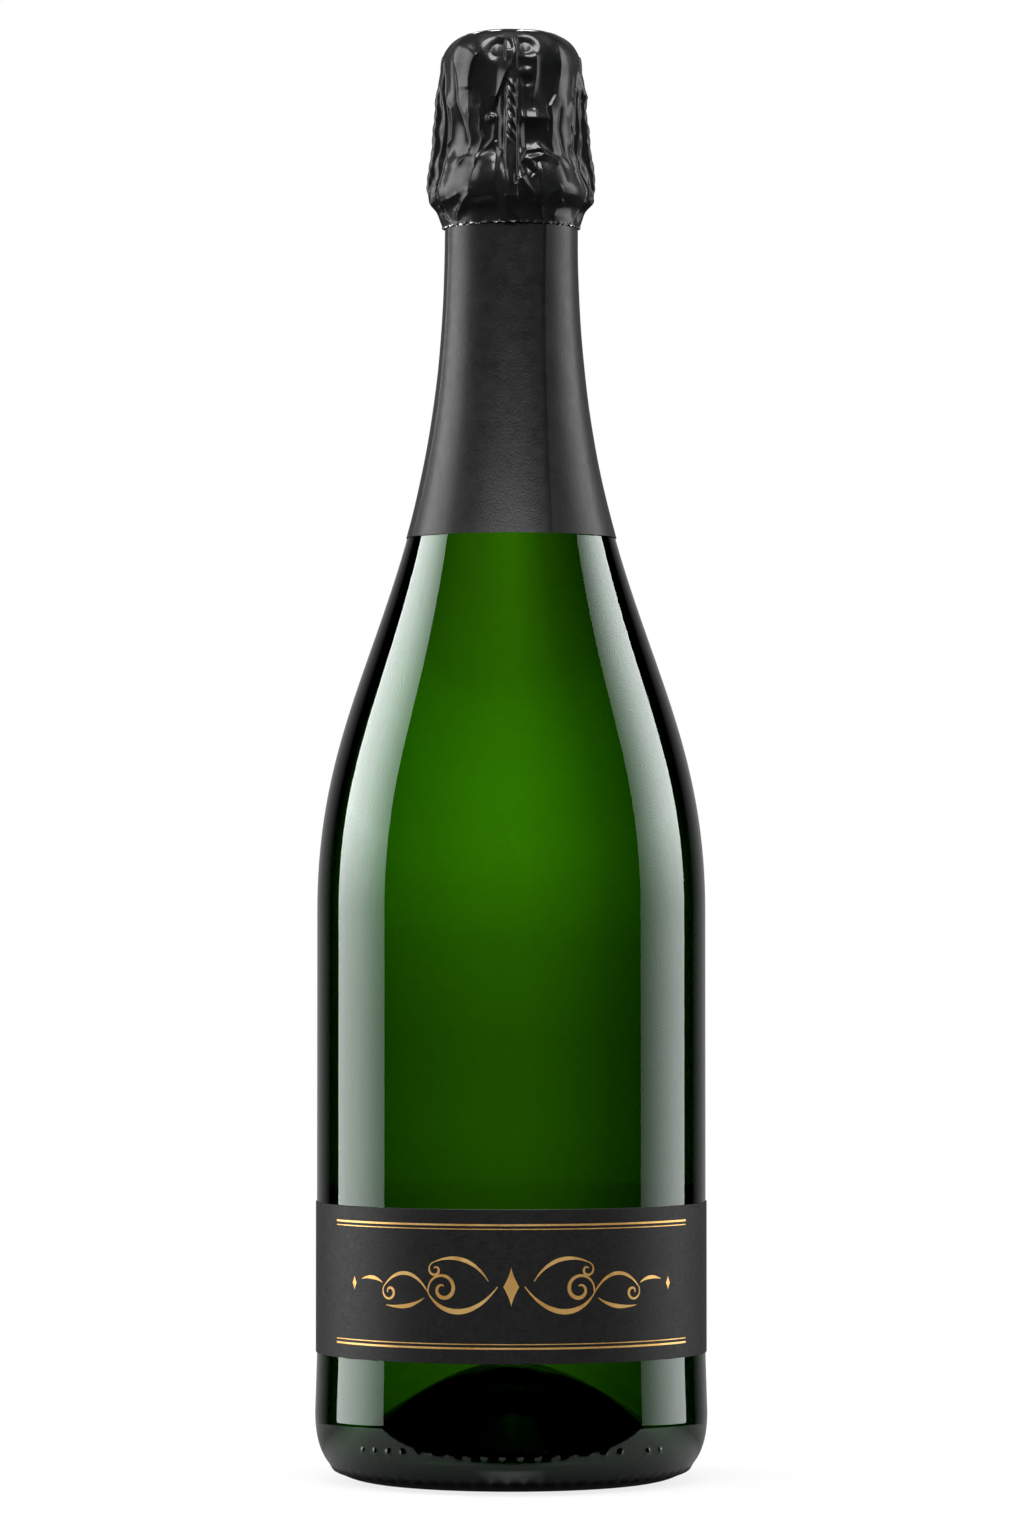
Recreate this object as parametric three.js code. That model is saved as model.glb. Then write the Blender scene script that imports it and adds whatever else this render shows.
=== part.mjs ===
// A full bottle of sparkling wine: glass, wine, label, foil, cork and the wire cage that holds the cork.
// Millimetres, +Z up. The origin is the centre of the ring that the bottle stands on. The front faces -Y.
import * as THREE from 'three';
import { mergeVertices } from 'three/addons/utils/BufferGeometryUtils.js';

// How finely the pieces are drawn. All turned pieces share their facets, so that their flats lie parallel.
const facets = 40;
const wireSides = 5;
const puntSteps = 6;
const heelSteps = 5;
const shoulderSteps = 12;
const innerShoulderSteps = 8;
const cornerSteps = 4;
const hoodCornerSteps = 6;
const smallArcSteps = 2;
const legSteps = 34;
const eyeletSteps = 6;
const crownSteps = 6;
const beltSteps = 80;
const tailSteps = 16;
const eyeSteps = 14;
const loopTubeSteps = 96;

// Glass: base
const bodyRadius = 43.5;
const heelSwell = 0.4;
const heelHeight = 15.2;
const heelFade = 12.3;
const heelUpright = 14.8;
const heelLevel = 6;
const bearingOuterRadius = 29;
const bearingWidth = 2;
const puntDepth = 20.2;
const puntGlass = 6.8;
const puntPoint = 1.4;
const innerPuntPoint = 1.6;
const floorGlass = 7;
const wallGlass = 5.85;
const innerHeelHeight = 8;
const innerHeelWidth = 2.9;

// Glass: body, shoulder and neck. An ease is how far the curve runs on along its straight before it bends.
const bodyHeight = 127.3;
const shoulderLength = 152.7;
const shoulderEase = 54.7;
const neckEase = 84;
const neckRadius = 14.7;
const innerShoulderEase = 48;
const innerNeckEase = 60;

// Glass: finish
const neckStraight = 3.2;
const grooveLength = 5.6;
const grooveDepth = 0.8;
const ringHeight = 5.8;
const ringReach = 0.5;
const ringRound = 1.2;
const collarLength = 2.4;
const collarDepth = 1.1;
const lipHeight = 5.5;
const lipDepth = 0.7;
const lipRound = 1.6;
const boreRadius = 9;
const boreDepth = 34;
const mouthRound = 0.7;

// Wine
const wineGap = 0.2;
const emptyNeck = 63;

// Label
const labelLift = 1.25;
const labelHeight = 33.55;
const labelThickness = 0.15;
const labelGap = 0.1;
const labelGapFacets = 3;

// Foil
const foilThickness = 0.15;
const foilGap = 0.1;
const foilSlack = 0.2;
const tearGap = 0.2;
const sleeveLength = 69.4;
const skirtLength = 8.4;
const ridgeHalfAngle = THREE.MathUtils.degToRad(27);
const loopRidgeHalfAngle = THREE.MathUtils.degToRad(34);

// Cork
const corkGap = 0.25;
const corkInNeck = 25;
const discThickness = 5.5;
const discGlueGap = 0.05;
const headRadius = 13.8;
const headHeight = 20.4;
const headRound = 6.5;
const headUnderRound = 4;
const headLift = 0.3;

// Cage
const wireRadius = 0.4;
const wireGap = 0.15;
const beltGap = 0.25;
const strandOffset = 0.5;
const legCount = 4;
const legTurns = 3.75;
const twistStart = 0.22;
const twistEnd = 0.93;
const eyeletStart = 0.87;
const eyeletEnd = 0.98;
const capThickness = 0.35;
const capGap = 0.15;
const capRimDegrees = 36;
const crownRadius = 10.4;
const crownBendDegrees = 12;
const legStartDegrees = 10;
const beltDrop = 1.5;
const loopAzimuth = Math.PI / 4;
const loopTailLength = 12;
const loopTailTurns = 1.75;
const tailBendShare = 0.6;
const loopEyeLength = 12;
const loopEyeHalfWidth = 3.4;

// Heights and radii that follow from the sizes above
const heelRadius = bodyRadius + heelSwell;
const bearingInnerRadius = bearingOuterRadius - bearingWidth;
const neckHeight = bodyHeight + shoulderLength;
const grooveBottom = neckHeight + neckStraight;
const grooveRadius = neckRadius - grooveDepth;
const ringBottom = grooveBottom + grooveLength;
const ringTop = ringBottom + ringHeight;
const ringRadius = neckRadius + ringReach;
const lipBottom = ringTop + collarLength;
const lipRadius = neckRadius - lipDepth;
const collarRadius = neckRadius - collarDepth;
const mouthHeight = lipBottom + lipHeight;
const boreBottom = mouthHeight - boreDepth;
const innerRadius = bodyRadius - wallGlass;
const labelBottom = heelHeight + heelFade + labelLift;
const wineLevel = mouthHeight - emptyNeck;
const tearHeight = ringBottom - skirtLength;
const headBottom = mouthHeight + headLift;
const headTop = headBottom + headHeight;
const corkRadius = boreRadius - corkGap;
const beltHeight = ringBottom - beltDrop;
const strandReach = strandOffset + wireRadius;
const eyeletRadius = 2 * wireRadius + wireGap;
const eyeletAxisRadius = ringRadius + wireGap + eyeletRadius + wireRadius;
const beltNearRadius = grooveRadius + beltGap + wireRadius;
const cornerRadius = headRadius - headRound;
const cornerHeight = headTop - headRound;
const capOuterRound = headRound + capGap + capThickness;
const wireRound = capOuterRound + wireGap + wireRadius;
const crownAngle = Math.acos((crownRadius - cornerRadius) / wireRound);
const crownHeight = cornerHeight + wireRound * Math.sin(crownAngle);
const widestRadius = Math.max(headRadius, lipRadius - foilSlack);
const legAtHead = headRadius + foilSlack + strandReach;
const tailRadius = ringRadius + wireGap + strandReach + capGap;

// Helpers

// Points of a turned outline: x is the distance from the axis, y the height.
const at = (radius, height) => new THREE.Vector2(radius, height);

function bezier(start, startHandle, endHandle, end, steps) {
  return new THREE.CubicBezierCurve(start, startHandle, endHandle, end).getPoints(steps);
}

function arc(centreRadius, centreHeight, radius, fromDegrees, toDegrees, steps) {
  const points = [];
  for (let i = 0; i <= steps; i++) {
    const angle = THREE.MathUtils.degToRad(THREE.MathUtils.lerp(fromDegrees, toDegrees, i / steps));
    points.push(at(centreRadius + radius * Math.cos(angle), centreHeight + radius * Math.sin(angle)));
  }
  return points;
}

// Moves an open outline sideways by a distance, to its right as it is walked.
function offset(points, distance) {
  return points.map((point, i) => {
    const before = points[Math.max(i - 1, 0)];
    const after = points[Math.min(i + 1, points.length - 1)];
    const into = point.clone().sub(before);
    const out = after.clone().sub(point);
    const along = into.normalize().add(out.normalize()).normalize();
    return at(point.x + distance * along.y, point.y - distance * along.x);
  });
}

// The stretch of an outline between two heights, for an outline whose height always rises.
function between(points, low, high) {
  const radiusAt = (height) => {
    const i = Math.max(1, points.findIndex((point) => point.y >= height));
    const [a, b] = [points[i - 1], points[i]];
    return THREE.MathUtils.mapLinear(height, a.y, b.y, a.x, b.x);
  };
  const inside = points.filter((point) => point.y > low && point.y < high);
  return [at(radiusAt(low), low), ...inside, at(radiusAt(high), high)];
}

// Turns an outline round Z. It starts and ends on the axis or closes on itself, and runs with the solid on
// its left. Its first facet edge is at the front.
function turn(outline) {
  const geometry = new THREE.LatheGeometry(outline, facets);
  return geometry.rotateX(Math.PI / 2);
}

function weld(geometry) {
  geometry.deleteAttribute('normal');
  geometry.deleteAttribute('uv');
  const welded = mergeVertices(geometry, 1e-4);
  welded.computeVertexNormals();
  return welded;
}

// A wire's centre line through points, with one ring of its tube at each point.
class WireCurve extends THREE.CatmullRomCurve3 {
  getPointAt(u, target) {
    return this.getPoint(u, target);
  }

  getTangentAt(u, target) {
    return this.getTangent(u, target);
  }
}

function closedWire(points) {
  const curve = new WireCurve(points, true, 'centripetal');
  return weld(new THREE.TubeGeometry(curve, points.length, wireRadius, wireSides, true));
}

function openWire(points, steps) {
  const section = new THREE.Shape();
  for (let i = 0; i < wireSides; i++) {
    const angle = (2 * Math.PI * i) / wireSides;
    const corner = [wireRadius * Math.cos(angle), wireRadius * Math.sin(angle)];
    if (i === 0) section.moveTo(...corner);
    else section.lineTo(...corner);
  }
  const extrudePath = new THREE.CatmullRomCurve3(points, false, 'centripetal');
  return weld(new THREE.ExtrudeGeometry(section, { steps, extrudePath, bevelEnabled: false }));
}

// A point given by its distance from the axis, its sideways place and its height, at an azimuth from +X.
function around(azimuth, radius, sideways, height) {
  const x = radius * Math.cos(azimuth) - sideways * Math.sin(azimuth);
  const y = radius * Math.sin(azimuth) + sideways * Math.cos(azimuth);
  return new THREE.Vector3(x, y, height);
}

const group = new THREE.Group();

function add(name, geometry, color, roughness, metalness) {
  const material = new THREE.MeshStandardMaterial({ color, roughness, metalness });
  const mesh = new THREE.Mesh(geometry, material);
  mesh.name = name;
  group.add(mesh);
}

// Glass

// A punt rises from its rim to its apex as a power of a cosine. A higher power makes it more pointed.
function puntOutline(apex, floor, radius, power, steps) {
  const points = [];
  for (let i = 0; i <= steps; i++) {
    const share = i / steps;
    const rise = i < steps ? Math.cos((Math.PI * share) / 2) ** power : 0;
    points.push(at(radius * share, floor + (apex - floor) * rise));
  }
  return points;
}

const heelCurve = bezier(
  at(bearingOuterRadius, 0),
  at(bearingOuterRadius + heelLevel, 0),
  at(heelRadius, heelHeight - heelUpright),
  at(heelRadius, heelHeight),
  heelSteps,
);
const shoulderCurve = bezier(
  at(bodyRadius, bodyHeight),
  at(bodyRadius, bodyHeight + shoulderEase),
  at(neckRadius, neckHeight - neckEase),
  at(neckRadius, neckHeight),
  shoulderSteps,
);
const bodyLow = at(bodyRadius, heelHeight + heelFade);
const ringOutline = [
  at(grooveRadius, ringBottom),
  ...arc(ringRadius - ringRound, ringBottom + ringRound, ringRound, -90, 0, smallArcSteps),
  ...arc(ringRadius - ringRound, ringTop - ringRound, ringRound, 0, 90, smallArcSteps),
];
const lipOutline = [
  at(collarRadius, ringTop),
  at(collarRadius, lipBottom),
  at(lipRadius, lipBottom + collarDepth - lipDepth),
  ...arc(lipRadius - lipRound, mouthHeight - lipRound, lipRound, 0, 90, smallArcSteps),
];
const boreOutline = arc(
  boreRadius + mouthRound,
  mouthHeight - mouthRound,
  mouthRound,
  90,
  180,
  smallArcSteps,
);
const innerShoulder = bezier(
  at(boreRadius, boreBottom),
  at(boreRadius, boreBottom - innerNeckEase),
  at(innerRadius, bodyHeight + innerShoulderEase),
  at(innerRadius, bodyHeight),
  innerShoulderSteps,
);
const innerPuntRadius = innerRadius - innerHeelWidth;
const innerHeel = bezier(
  at(innerRadius, floorGlass + innerHeelHeight),
  at(innerRadius, floorGlass + innerHeelHeight / 3),
  at(innerRadius, floorGlass),
  at(innerPuntRadius, floorGlass),
  heelSteps,
);
const innerApex = puntDepth + puntGlass;
const innerPunt = puntOutline(innerApex, floorGlass, innerPuntRadius, innerPuntPoint, puntSteps).reverse();
const cavityOutline = [...innerShoulder, ...innerHeel, ...innerPunt.slice(1)];
const outerOutline = [
  ...puntOutline(puntDepth, 0, bearingInnerRadius, puntPoint, puntSteps),
  ...heelCurve,
  bodyLow,
  ...shoulderCurve,
  at(neckRadius, grooveBottom),
  at(grooveRadius, grooveBottom + grooveDepth),
  ...ringOutline,
  ...lipOutline,
];
add('glass_bottle', weld(turn([...outerOutline, ...boreOutline, ...cavityOutline])), 0x1f5a06, 0.05, 0);

// Wine: the inside of the glass, drawn in by a small gap, up to its level in the neck
const wineWall = offset([...cavityOutline].reverse(), -wineGap);
wineWall[0] = at(0, innerApex + wineGap);
const firstAbove = wineWall.findIndex((point) => point.y >= wineLevel);
const wineEdge = between(wineWall.slice(firstAbove - 1), wineLevel, wineLevel)[0];
const wineOutline = [...wineWall.slice(0, firstAbove), wineEdge, at(0, wineLevel)];
add('wine', weld(turn(wineOutline)), 0xd9c77a, 0.05, 0);

// Label: a strip whose ends stop short of each other at the back
function labelSection() {
  const inner = bodyRadius + labelGap;
  const outer = inner + labelThickness;
  const step = (2 * Math.PI) / facets;
  const back = Math.PI / 2;
  const shape = new THREE.Shape();
  const corners = [];
  for (let i = labelGapFacets; i <= facets - labelGapFacets; i++) {
    corners.push([outer, back + i * step]);
  }
  for (let i = facets - labelGapFacets; i >= labelGapFacets; i--) {
    corners.push([inner, back + i * step]);
  }
  corners.forEach(([radius, angle], i) => {
    const corner = [radius * Math.cos(angle), radius * Math.sin(angle)];
    if (i === 0) shape.moveTo(...corner);
    else shape.lineTo(...corner);
  });
  return shape;
}
const label = new THREE.ExtrudeGeometry(labelSection(), { depth: labelHeight, bevelEnabled: false });
add('label_band', weld(label.translate(0, 0, labelBottom)), 0x1c1c1e, 0.85, 0);

// Cork: mushroom body above two discs
const discTop = mouthHeight - corkInNeck + 2 * discThickness;
const headUnder = [
  at(corkRadius, headBottom),
  ...arc(headRadius - headUnderRound, headBottom + headUnderRound, headUnderRound, -90, 0, smallArcSteps),
];
const corkOutline = [
  at(0, discTop + discGlueGap),
  at(corkRadius, discTop + discGlueGap),
  ...headUnder,
  ...arc(cornerRadius, cornerHeight, headRound, 0, 90, cornerSteps),
  at(0, headTop),
];
add('cork_body', weld(turn(corkOutline)), 0xb98a56, 0.9, 0);

function disc(bottom) {
  const top = bottom + discThickness - discGlueGap;
  return weld(turn([at(0, bottom), at(corkRadius, bottom), at(corkRadius, top), at(0, top)]));
}
add('cork_disc_upper', disc(discTop - discThickness), 0xc99a62, 0.9, 0);
add('cork_disc_lower', disc(discTop - 2 * discThickness), 0xc4945c, 0.9, 0);

// Cage cap: a shallow pressed cap that follows the rounded edge of the cork's head
const capLower = arc(cornerRadius, cornerHeight, headRound + capGap, capRimDegrees, 90, cornerSteps);
const capUpper = arc(cornerRadius, cornerHeight, capOuterRound, capRimDegrees, 90, cornerSteps);
const capOutline = [
  at(0, headTop + capGap),
  ...capLower.reverse(),
  ...capUpper,
  at(0, headTop + capGap + capThickness),
];
add('cage_cap', weld(turn(capOutline)), 0x8a7a3c, 0.35, 0.9);

// Cage frame: one closed wire. Each leg's two strands come off the crown side by side over the cap's edge,
// twist round each other down the cork's head and part into an eyelet that goes round the belt.
const legTopDegrees = THREE.MathUtils.radToDeg(crownAngle) - crownBendDegrees;
const legLine = new THREE.CatmullRomCurve3(
  [
    ...arc(cornerRadius, cornerHeight, wireRound, legTopDegrees, legStartDegrees, cornerSteps),
    at(legAtHead, cornerHeight - headUnderRound),
    at(legAtHead, headBottom + headUnderRound),
    at((legAtHead + eyeletAxisRadius) / 2, mouthHeight - lipRound),
    at(eyeletAxisRadius, ringTop - ringRound),
    at(eyeletAxisRadius, beltHeight + 2 * eyeletRadius),
    at(eyeletAxisRadius, beltHeight),
  ].map((point) => new THREE.Vector3(point.x, 0, point.y)),
  false,
  'centripetal',
);

// One strand of a leg, from the crown down to the belt. The strand's side is +1 or -1.
function strand(azimuth, side) {
  const points = [];
  for (let i = 0; i <= legSteps; i++) {
    const share = i / legSteps;
    const place = legLine.getPointAt(share);
    const along = legLine.getTangentAt(share);
    const twisted = THREE.MathUtils.clamp((share - twistStart) / (twistEnd - twistStart), 0, 1);
    const angle = 2 * Math.PI * legTurns * twisted;
    const open = THREE.MathUtils.smoothstep(share, eyeletStart, eyeletEnd);
    const reach = THREE.MathUtils.lerp(strandOffset, eyeletRadius, open);
    const sideways = side * reach * Math.cos(angle);
    const outward = side * reach * Math.sin(angle);
    points.push(around(azimuth, place.x - outward * along.z, sideways, place.z + outward * along.x));
  }
  return points;
}

function eyelet(azimuth) {
  const points = [];
  for (let i = 1; i < eyeletSteps; i++) {
    const angle = (Math.PI * i) / eyeletSteps;
    const radius = eyeletAxisRadius + eyeletRadius * Math.cos(angle);
    points.push(around(azimuth, radius, 0, beltHeight - eyeletRadius * Math.sin(angle)));
  }
  return points;
}

function crownArc(azimuth) {
  const points = [];
  const legSpacing = (2 * Math.PI) / legCount;
  const bend = (2 * strandReach) / crownRadius;
  for (let i = 0; i <= crownSteps; i++) {
    const turned = THREE.MathUtils.lerp(bend, legSpacing - bend, i / crownSteps);
    points.push(around(azimuth + turned, crownRadius, 0, crownHeight));
  }
  return points;
}

const framePath = [];
for (let leg = 0; leg < legCount; leg++) {
  const azimuth = (2 * Math.PI * leg) / legCount;
  const down = strand(azimuth, -1);
  const up = strand(azimuth, 1).reverse();
  framePath.push(...down, ...eyelet(azimuth), ...up, ...crownArc(azimuth));
}
add('cage_frame', closedWire(framePath), 0x9a9a98, 0.35, 1);

// Cage belt: drawn in under the ring between the legs, out through the eyelets at the legs
const beltPath = [];
for (let i = 0; i < beltSteps; i++) {
  const azimuth = (2 * Math.PI * i) / beltSteps;
  const atLeg = ((1 + Math.cos(legCount * azimuth)) / 2) ** 2;
  const radius = THREE.MathUtils.lerp(beltNearRadius, eyeletAxisRadius, atLeg);
  beltPath.push(around(azimuth, radius, 0, beltHeight));
}
add('cage_belt', closedWire(beltPath), 0x9a9a98, 0.35, 1);

// Cage loop: a twisted tail from the belt, folded up against the side, with an eye at its end
const tailStart = ringBottom + wireRadius;
const tailEnd = tailStart + loopTailLength;
const eyeRadius = widestRadius + foilSlack + 2 * wireRadius;
const footRadius = ringRadius + wireGap;

function tailStrand(side) {
  const points = [];
  for (let i = 0; i <= tailSteps; i++) {
    const share = i / tailSteps;
    const angle = 2 * Math.PI * loopTailTurns * share;
    const drawnIn = THREE.MathUtils.smoothstep(share, tailBendShare, 1);
    const radius = THREE.MathUtils.lerp(tailRadius, eyeRadius, drawnIn);
    const sideways = side * strandOffset * Math.cos(angle);
    const outward = side * strandOffset * Math.sin(angle);
    const height = THREE.MathUtils.lerp(tailStart, tailEnd, share);
    points.push(around(loopAzimuth, radius + outward, sideways, height));
  }
  return points;
}

function loopEye() {
  const points = [];
  for (let i = 1; i < eyeSteps; i++) {
    const angle = (2 * Math.PI * i) / eyeSteps;
    const sideways = -loopEyeHalfWidth * Math.sin(angle) * Math.sin(angle / 2);
    const height = tailEnd + (loopEyeLength * (1 - Math.cos(angle))) / 2;
    points.push(around(loopAzimuth, eyeRadius, sideways, height));
  }
  return points;
}

function loopFoot(side) {
  return [
    around(loopAzimuth, footRadius, side * strandOffset, beltHeight),
    around(loopAzimuth, tailRadius - wireRadius, side * strandOffset, beltHeight + wireRadius / 2),
  ];
}

const loopPath = [
  ...loopFoot(1),
  ...tailStrand(1),
  ...loopEye(),
  ...tailStrand(-1).reverse(),
  ...loopFoot(-1).reverse(),
];
add('cage_loop', openWire(loopPath, loopTubeSteps), 0x9a9a98, 0.35, 1);

// Foil sleeve: follows the shoulder and the neck
const sleeveBottom = tearHeight - tearGap - sleeveLength;
const neckWall = [...shoulderCurve, at(neckRadius, grooveBottom)];
const sleeveLine = between(neckWall, sleeveBottom, tearHeight - tearGap);
const sleeveInner = offset(sleeveLine, foilGap);
const sleeveOuter = offset(sleeveLine, foilGap + foilThickness);
const sleeveOutline = [...sleeveOuter, ...sleeveInner.reverse(), sleeveOuter[0]];
add('foil_sleeve', weld(turn(sleeveOutline)), 0x1b1b1c, 0.45, 0.3);

// Foil hood: pressed on the cork, the lip and the ring between the legs, and standing out in ridges over the
// legs and the loop. Each row gives a height, the pressed radius and the radius on a ridge.
const cover = foilSlack + foilThickness;
const hoodRound = wireRound + wireRadius + cover;
const ridgeAtHead = Math.max(legAtHead + strandReach, eyeRadius + wireRadius + cover) + cover;
const hoodCorner = arc(cornerRadius, cornerHeight, hoodRound, 0, 90, hoodCornerSteps);
const hoodRows = [
  [tearHeight, neckRadius + foilGap + foilThickness, neckRadius + foilGap + foilThickness],
  [beltHeight - 2 * eyeletRadius - wireRadius, neckRadius + cover, eyeletAxisRadius],
  [beltHeight - eyeletRadius, neckRadius + 2 * cover, eyeletAxisRadius + eyeletRadius + cover],
  [beltHeight + eyeletRadius, ringRadius + cover, eyeletAxisRadius + eyeletRadius + wireRadius + cover],
  [ringTop - ringRound, ringRadius + cover, eyeletAxisRadius + strandReach + cover],
  [lipBottom, lipRadius + 2 * cover, eyeletAxisRadius + strandReach + cover / 2],
  [mouthHeight - lipRound, lipRadius + cover, (legAtHead + eyeletAxisRadius) / 2 + strandReach + cover],
  [headBottom + headUnderRound, widestRadius + cover, ridgeAtHead],
  [cornerHeight - headUnderRound, widestRadius + cover, ridgeAtHead],
  [hoodCorner[0].y, headRadius + cover + capGap, hoodCorner[0].x],
  ...hoodCorner.slice(1).map((point) => [point.y, point.x, point.x]),
];
const hoodTop = cornerHeight + hoodRound;

function ridge(azimuth, centre, halfAngle) {
  const away = Math.abs(Math.atan2(Math.sin(azimuth - centre), Math.cos(azimuth - centre)));
  return away < halfAngle ? Math.cos((Math.PI / 2) * (away / halfAngle)) ** 2 : 0;
}

function ridgeAt(azimuth) {
  let most = ridge(azimuth, loopAzimuth, loopRidgeHalfAngle);
  for (let leg = 0; leg < legCount; leg++) {
    most = Math.max(most, ridge(azimuth, (2 * Math.PI * leg) / legCount, ridgeHalfAngle));
  }
  return most;
}

function hoodGeometry() {
  const outer = hoodRows.map(([height, pressed]) => at(pressed, height));
  const inner = offset(outer, -foilThickness).reverse();
  inner[inner.length - 1].y = tearHeight;
  const lift = hoodRows.map(([, pressed, raised]) => raised - pressed);
  const lifts = [0, ...[...lift].reverse(), ...lift, 0];
  const outline = [at(0, hoodTop - foilThickness), ...inner, ...outer, at(0, hoodTop)];
  const geometry = new THREE.LatheGeometry(outline, facets);
  geometry.rotateX(Math.PI / 2);
  const place = geometry.attributes.position;
  for (let i = 0; i < place.count; i++) {
    const azimuth = Math.atan2(place.getY(i), place.getX(i));
    const reach = Math.hypot(place.getX(i), place.getY(i));
    if (reach === 0) continue;
    const wider = 1 + (lifts[i % outline.length] * ridgeAt(azimuth)) / reach;
    place.setXY(i, place.getX(i) * wider, place.getY(i) * wider);
  }
  return weld(geometry);
}
add('foil_hood', hoodGeometry(), 0x161617, 0.4, 0.3);

export default group;
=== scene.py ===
# Looks of the full bottle of sparkling wine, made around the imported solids.
# Lengths are in millimetres unless a name ends in _M or _m. The front faces -Y, and +Z is up.
import math

import bpy
import numpy as np
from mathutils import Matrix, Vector


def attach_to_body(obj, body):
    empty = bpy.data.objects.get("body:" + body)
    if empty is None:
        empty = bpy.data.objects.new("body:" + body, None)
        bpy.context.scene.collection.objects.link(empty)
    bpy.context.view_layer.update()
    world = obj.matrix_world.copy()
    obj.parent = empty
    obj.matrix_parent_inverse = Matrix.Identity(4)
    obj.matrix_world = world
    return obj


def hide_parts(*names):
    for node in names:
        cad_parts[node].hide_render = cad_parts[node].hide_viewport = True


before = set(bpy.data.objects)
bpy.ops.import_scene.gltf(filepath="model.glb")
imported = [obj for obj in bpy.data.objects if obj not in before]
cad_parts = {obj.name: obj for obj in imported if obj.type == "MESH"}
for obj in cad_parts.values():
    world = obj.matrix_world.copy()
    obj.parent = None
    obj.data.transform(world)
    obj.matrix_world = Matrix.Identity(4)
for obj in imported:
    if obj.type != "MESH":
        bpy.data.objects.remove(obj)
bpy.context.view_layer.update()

MM = 0.001
FULL_TURN = 2 * math.pi
FRONT = -math.pi / 2
# The right, back, left and front legs of the cage
LEGS = [leg * math.pi / 2 for leg in range(4)]

# Glass sizes, as in the part
BODY_RADIUS = 43.5
HEEL_RADIUS = 43.9
HEEL_HEIGHT = 15.2
HEEL_UPRIGHT = 14.8
HEEL_LEVEL = 6.0
BODY_LOW = 27.5
BEARING_OUTER = 29.0
BEARING_INNER = 27.0
PUNT_DEPTH = 20.2
PUNT_GLASS = 6.8
PUNT_POINT = 1.4
INNER_PUNT_POINT = 1.6
FLOOR_GLASS = 7.0
INNER_RADIUS = 37.65
INNER_HEEL = 8.0
INNER_HEEL_WIDTH = 2.9
BODY_HEIGHT = 127.3
NECK_HEIGHT = 280.0
SHOULDER_EASE = 54.7
NECK_EASE = 84.0
NECK_RADIUS = 14.7
INNER_SHOULDER_EASE = 48.0
INNER_NECK_EASE = 60.0
GROOVE_BOTTOM = 283.2
GROOVE_RADIUS = 13.9
GROOVE_SLOPE = 0.8
RING_BOTTOM = 288.8
RING_TOP = 294.6
RING_RADIUS = 15.2
RING_ROUND = 1.2
COLLAR_RADIUS = 13.6
LIP_BOTTOM = 297.0
LIP_RADIUS = 14.0
LIP_SLOPE = 0.4
LIP_ROUND = 1.6
MOUTH = 302.5
MOUTH_ROUND = 0.7
BORE_RADIUS = 9.0
BORE_BOTTOM = 268.5
WINE_LEVEL = 239.5

# Label, foil, cork and cage sizes, as in the part
LABEL_BOTTOM = 28.75
LABEL_TOP = 62.3
LABEL_INNER = 43.6
LABEL_OUTER = 43.75
LABEL_END_DEGREES = 27.0
SLEEVE_BOTTOM = 210.8
SLEEVE_TOP = 280.2
TEAR_HEIGHT = 280.4
FOIL_GAP = 0.1
FOIL_THICKNESS = 0.15
HEAD_RADIUS = 13.8
HEAD_BOTTOM = 302.8
HEAD_TOP = 323.2
HEAD_ROUND = 6.5
HEAD_UNDER_ROUND = 4.0
CORNER_RADIUS = 7.3
CORNER_HEIGHT = 316.7
CORK_RADIUS = 8.75
DISC_TOP = 288.5
DISC_THICKNESS = 5.5
DISC_GLUE = 0.05
WIRE_RADIUS = 0.4
STRAND_OFFSET = 0.5
EYELET_RADIUS = 0.95
EYELET_AXIS = 16.7
BELT_HEIGHT = 287.3
BELT_NEAR = 14.55
CAP_GAP = 0.15
CAP_OUTER_ROUND = 7.0
CAP_RIM_DEGREES = 36.0
WIRE_ROUND = 7.55
CROWN_RADIUS = 10.4
LEG_AT_HEAD = 14.9
LEG_TURNS = 3.75
TWIST_START = 0.22
TWIST_END = 0.93
EYELET_START = 0.87
EYELET_END = 0.98
TAIL_RADIUS = 16.4
TAIL_LENGTH = 12.0
TAIL_TURNS = 1.75
LOOP_AZIMUTH = math.pi / 4
LOOP_FOOT_RADIUS = 15.35
LOOP_EYE_RADIUS = 14.8
LOOP_EYE_LENGTH = 12.0
LOOP_EYE_HALF_WIDTH = 3.4
HOOD_ROUND = 8.3
HOOD_TOP = 325.0

# Outlines: lists of (radius, height) points


def bezier(start, start_handle, end_handle, end, steps):
    t = np.linspace(0, 1, steps + 1)[:, None]
    a, b, c, d = (np.array(p, float) for p in (start, start_handle, end_handle, end))
    return (1 - t) ** 3 * a + 3 * t * (1 - t) ** 2 * b + 3 * t**2 * (1 - t) * c + t**3 * d


def arc(centre_radius, centre_height, radius, from_degrees, to_degrees, steps):
    angle = np.radians(np.linspace(from_degrees, to_degrees, steps + 1))
    return np.stack([centre_radius + radius * np.cos(angle), centre_height + radius * np.sin(angle)], 1)


def punt(apex, floor, radius, power, steps):
    reach = np.linspace(0, radius, steps + 1)
    rise = np.maximum(np.cos(math.pi * reach / (2 * radius)), 0) ** power
    return np.stack([reach, floor + (apex - floor) * rise], 1)


def outline(*stretches):
    """One list of points, without repeated points."""
    points = np.vstack([np.atleast_2d(np.array(s, float)) for s in stretches])
    step = np.hypot(*np.diff(points, axis=0).T)
    return points[np.concatenate([[True], step > 1e-4])]


def directions(line):
    along = np.gradient(line, axis=0)
    return along / np.maximum(np.hypot(along[:, 0], along[:, 1]), 1e-9)[:, None]


def offset(points, distance):
    """The outline moved to its right by a distance."""
    along = directions(points)
    return points + distance * np.stack([along[:, 1], -along[:, 0]], 1)


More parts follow.
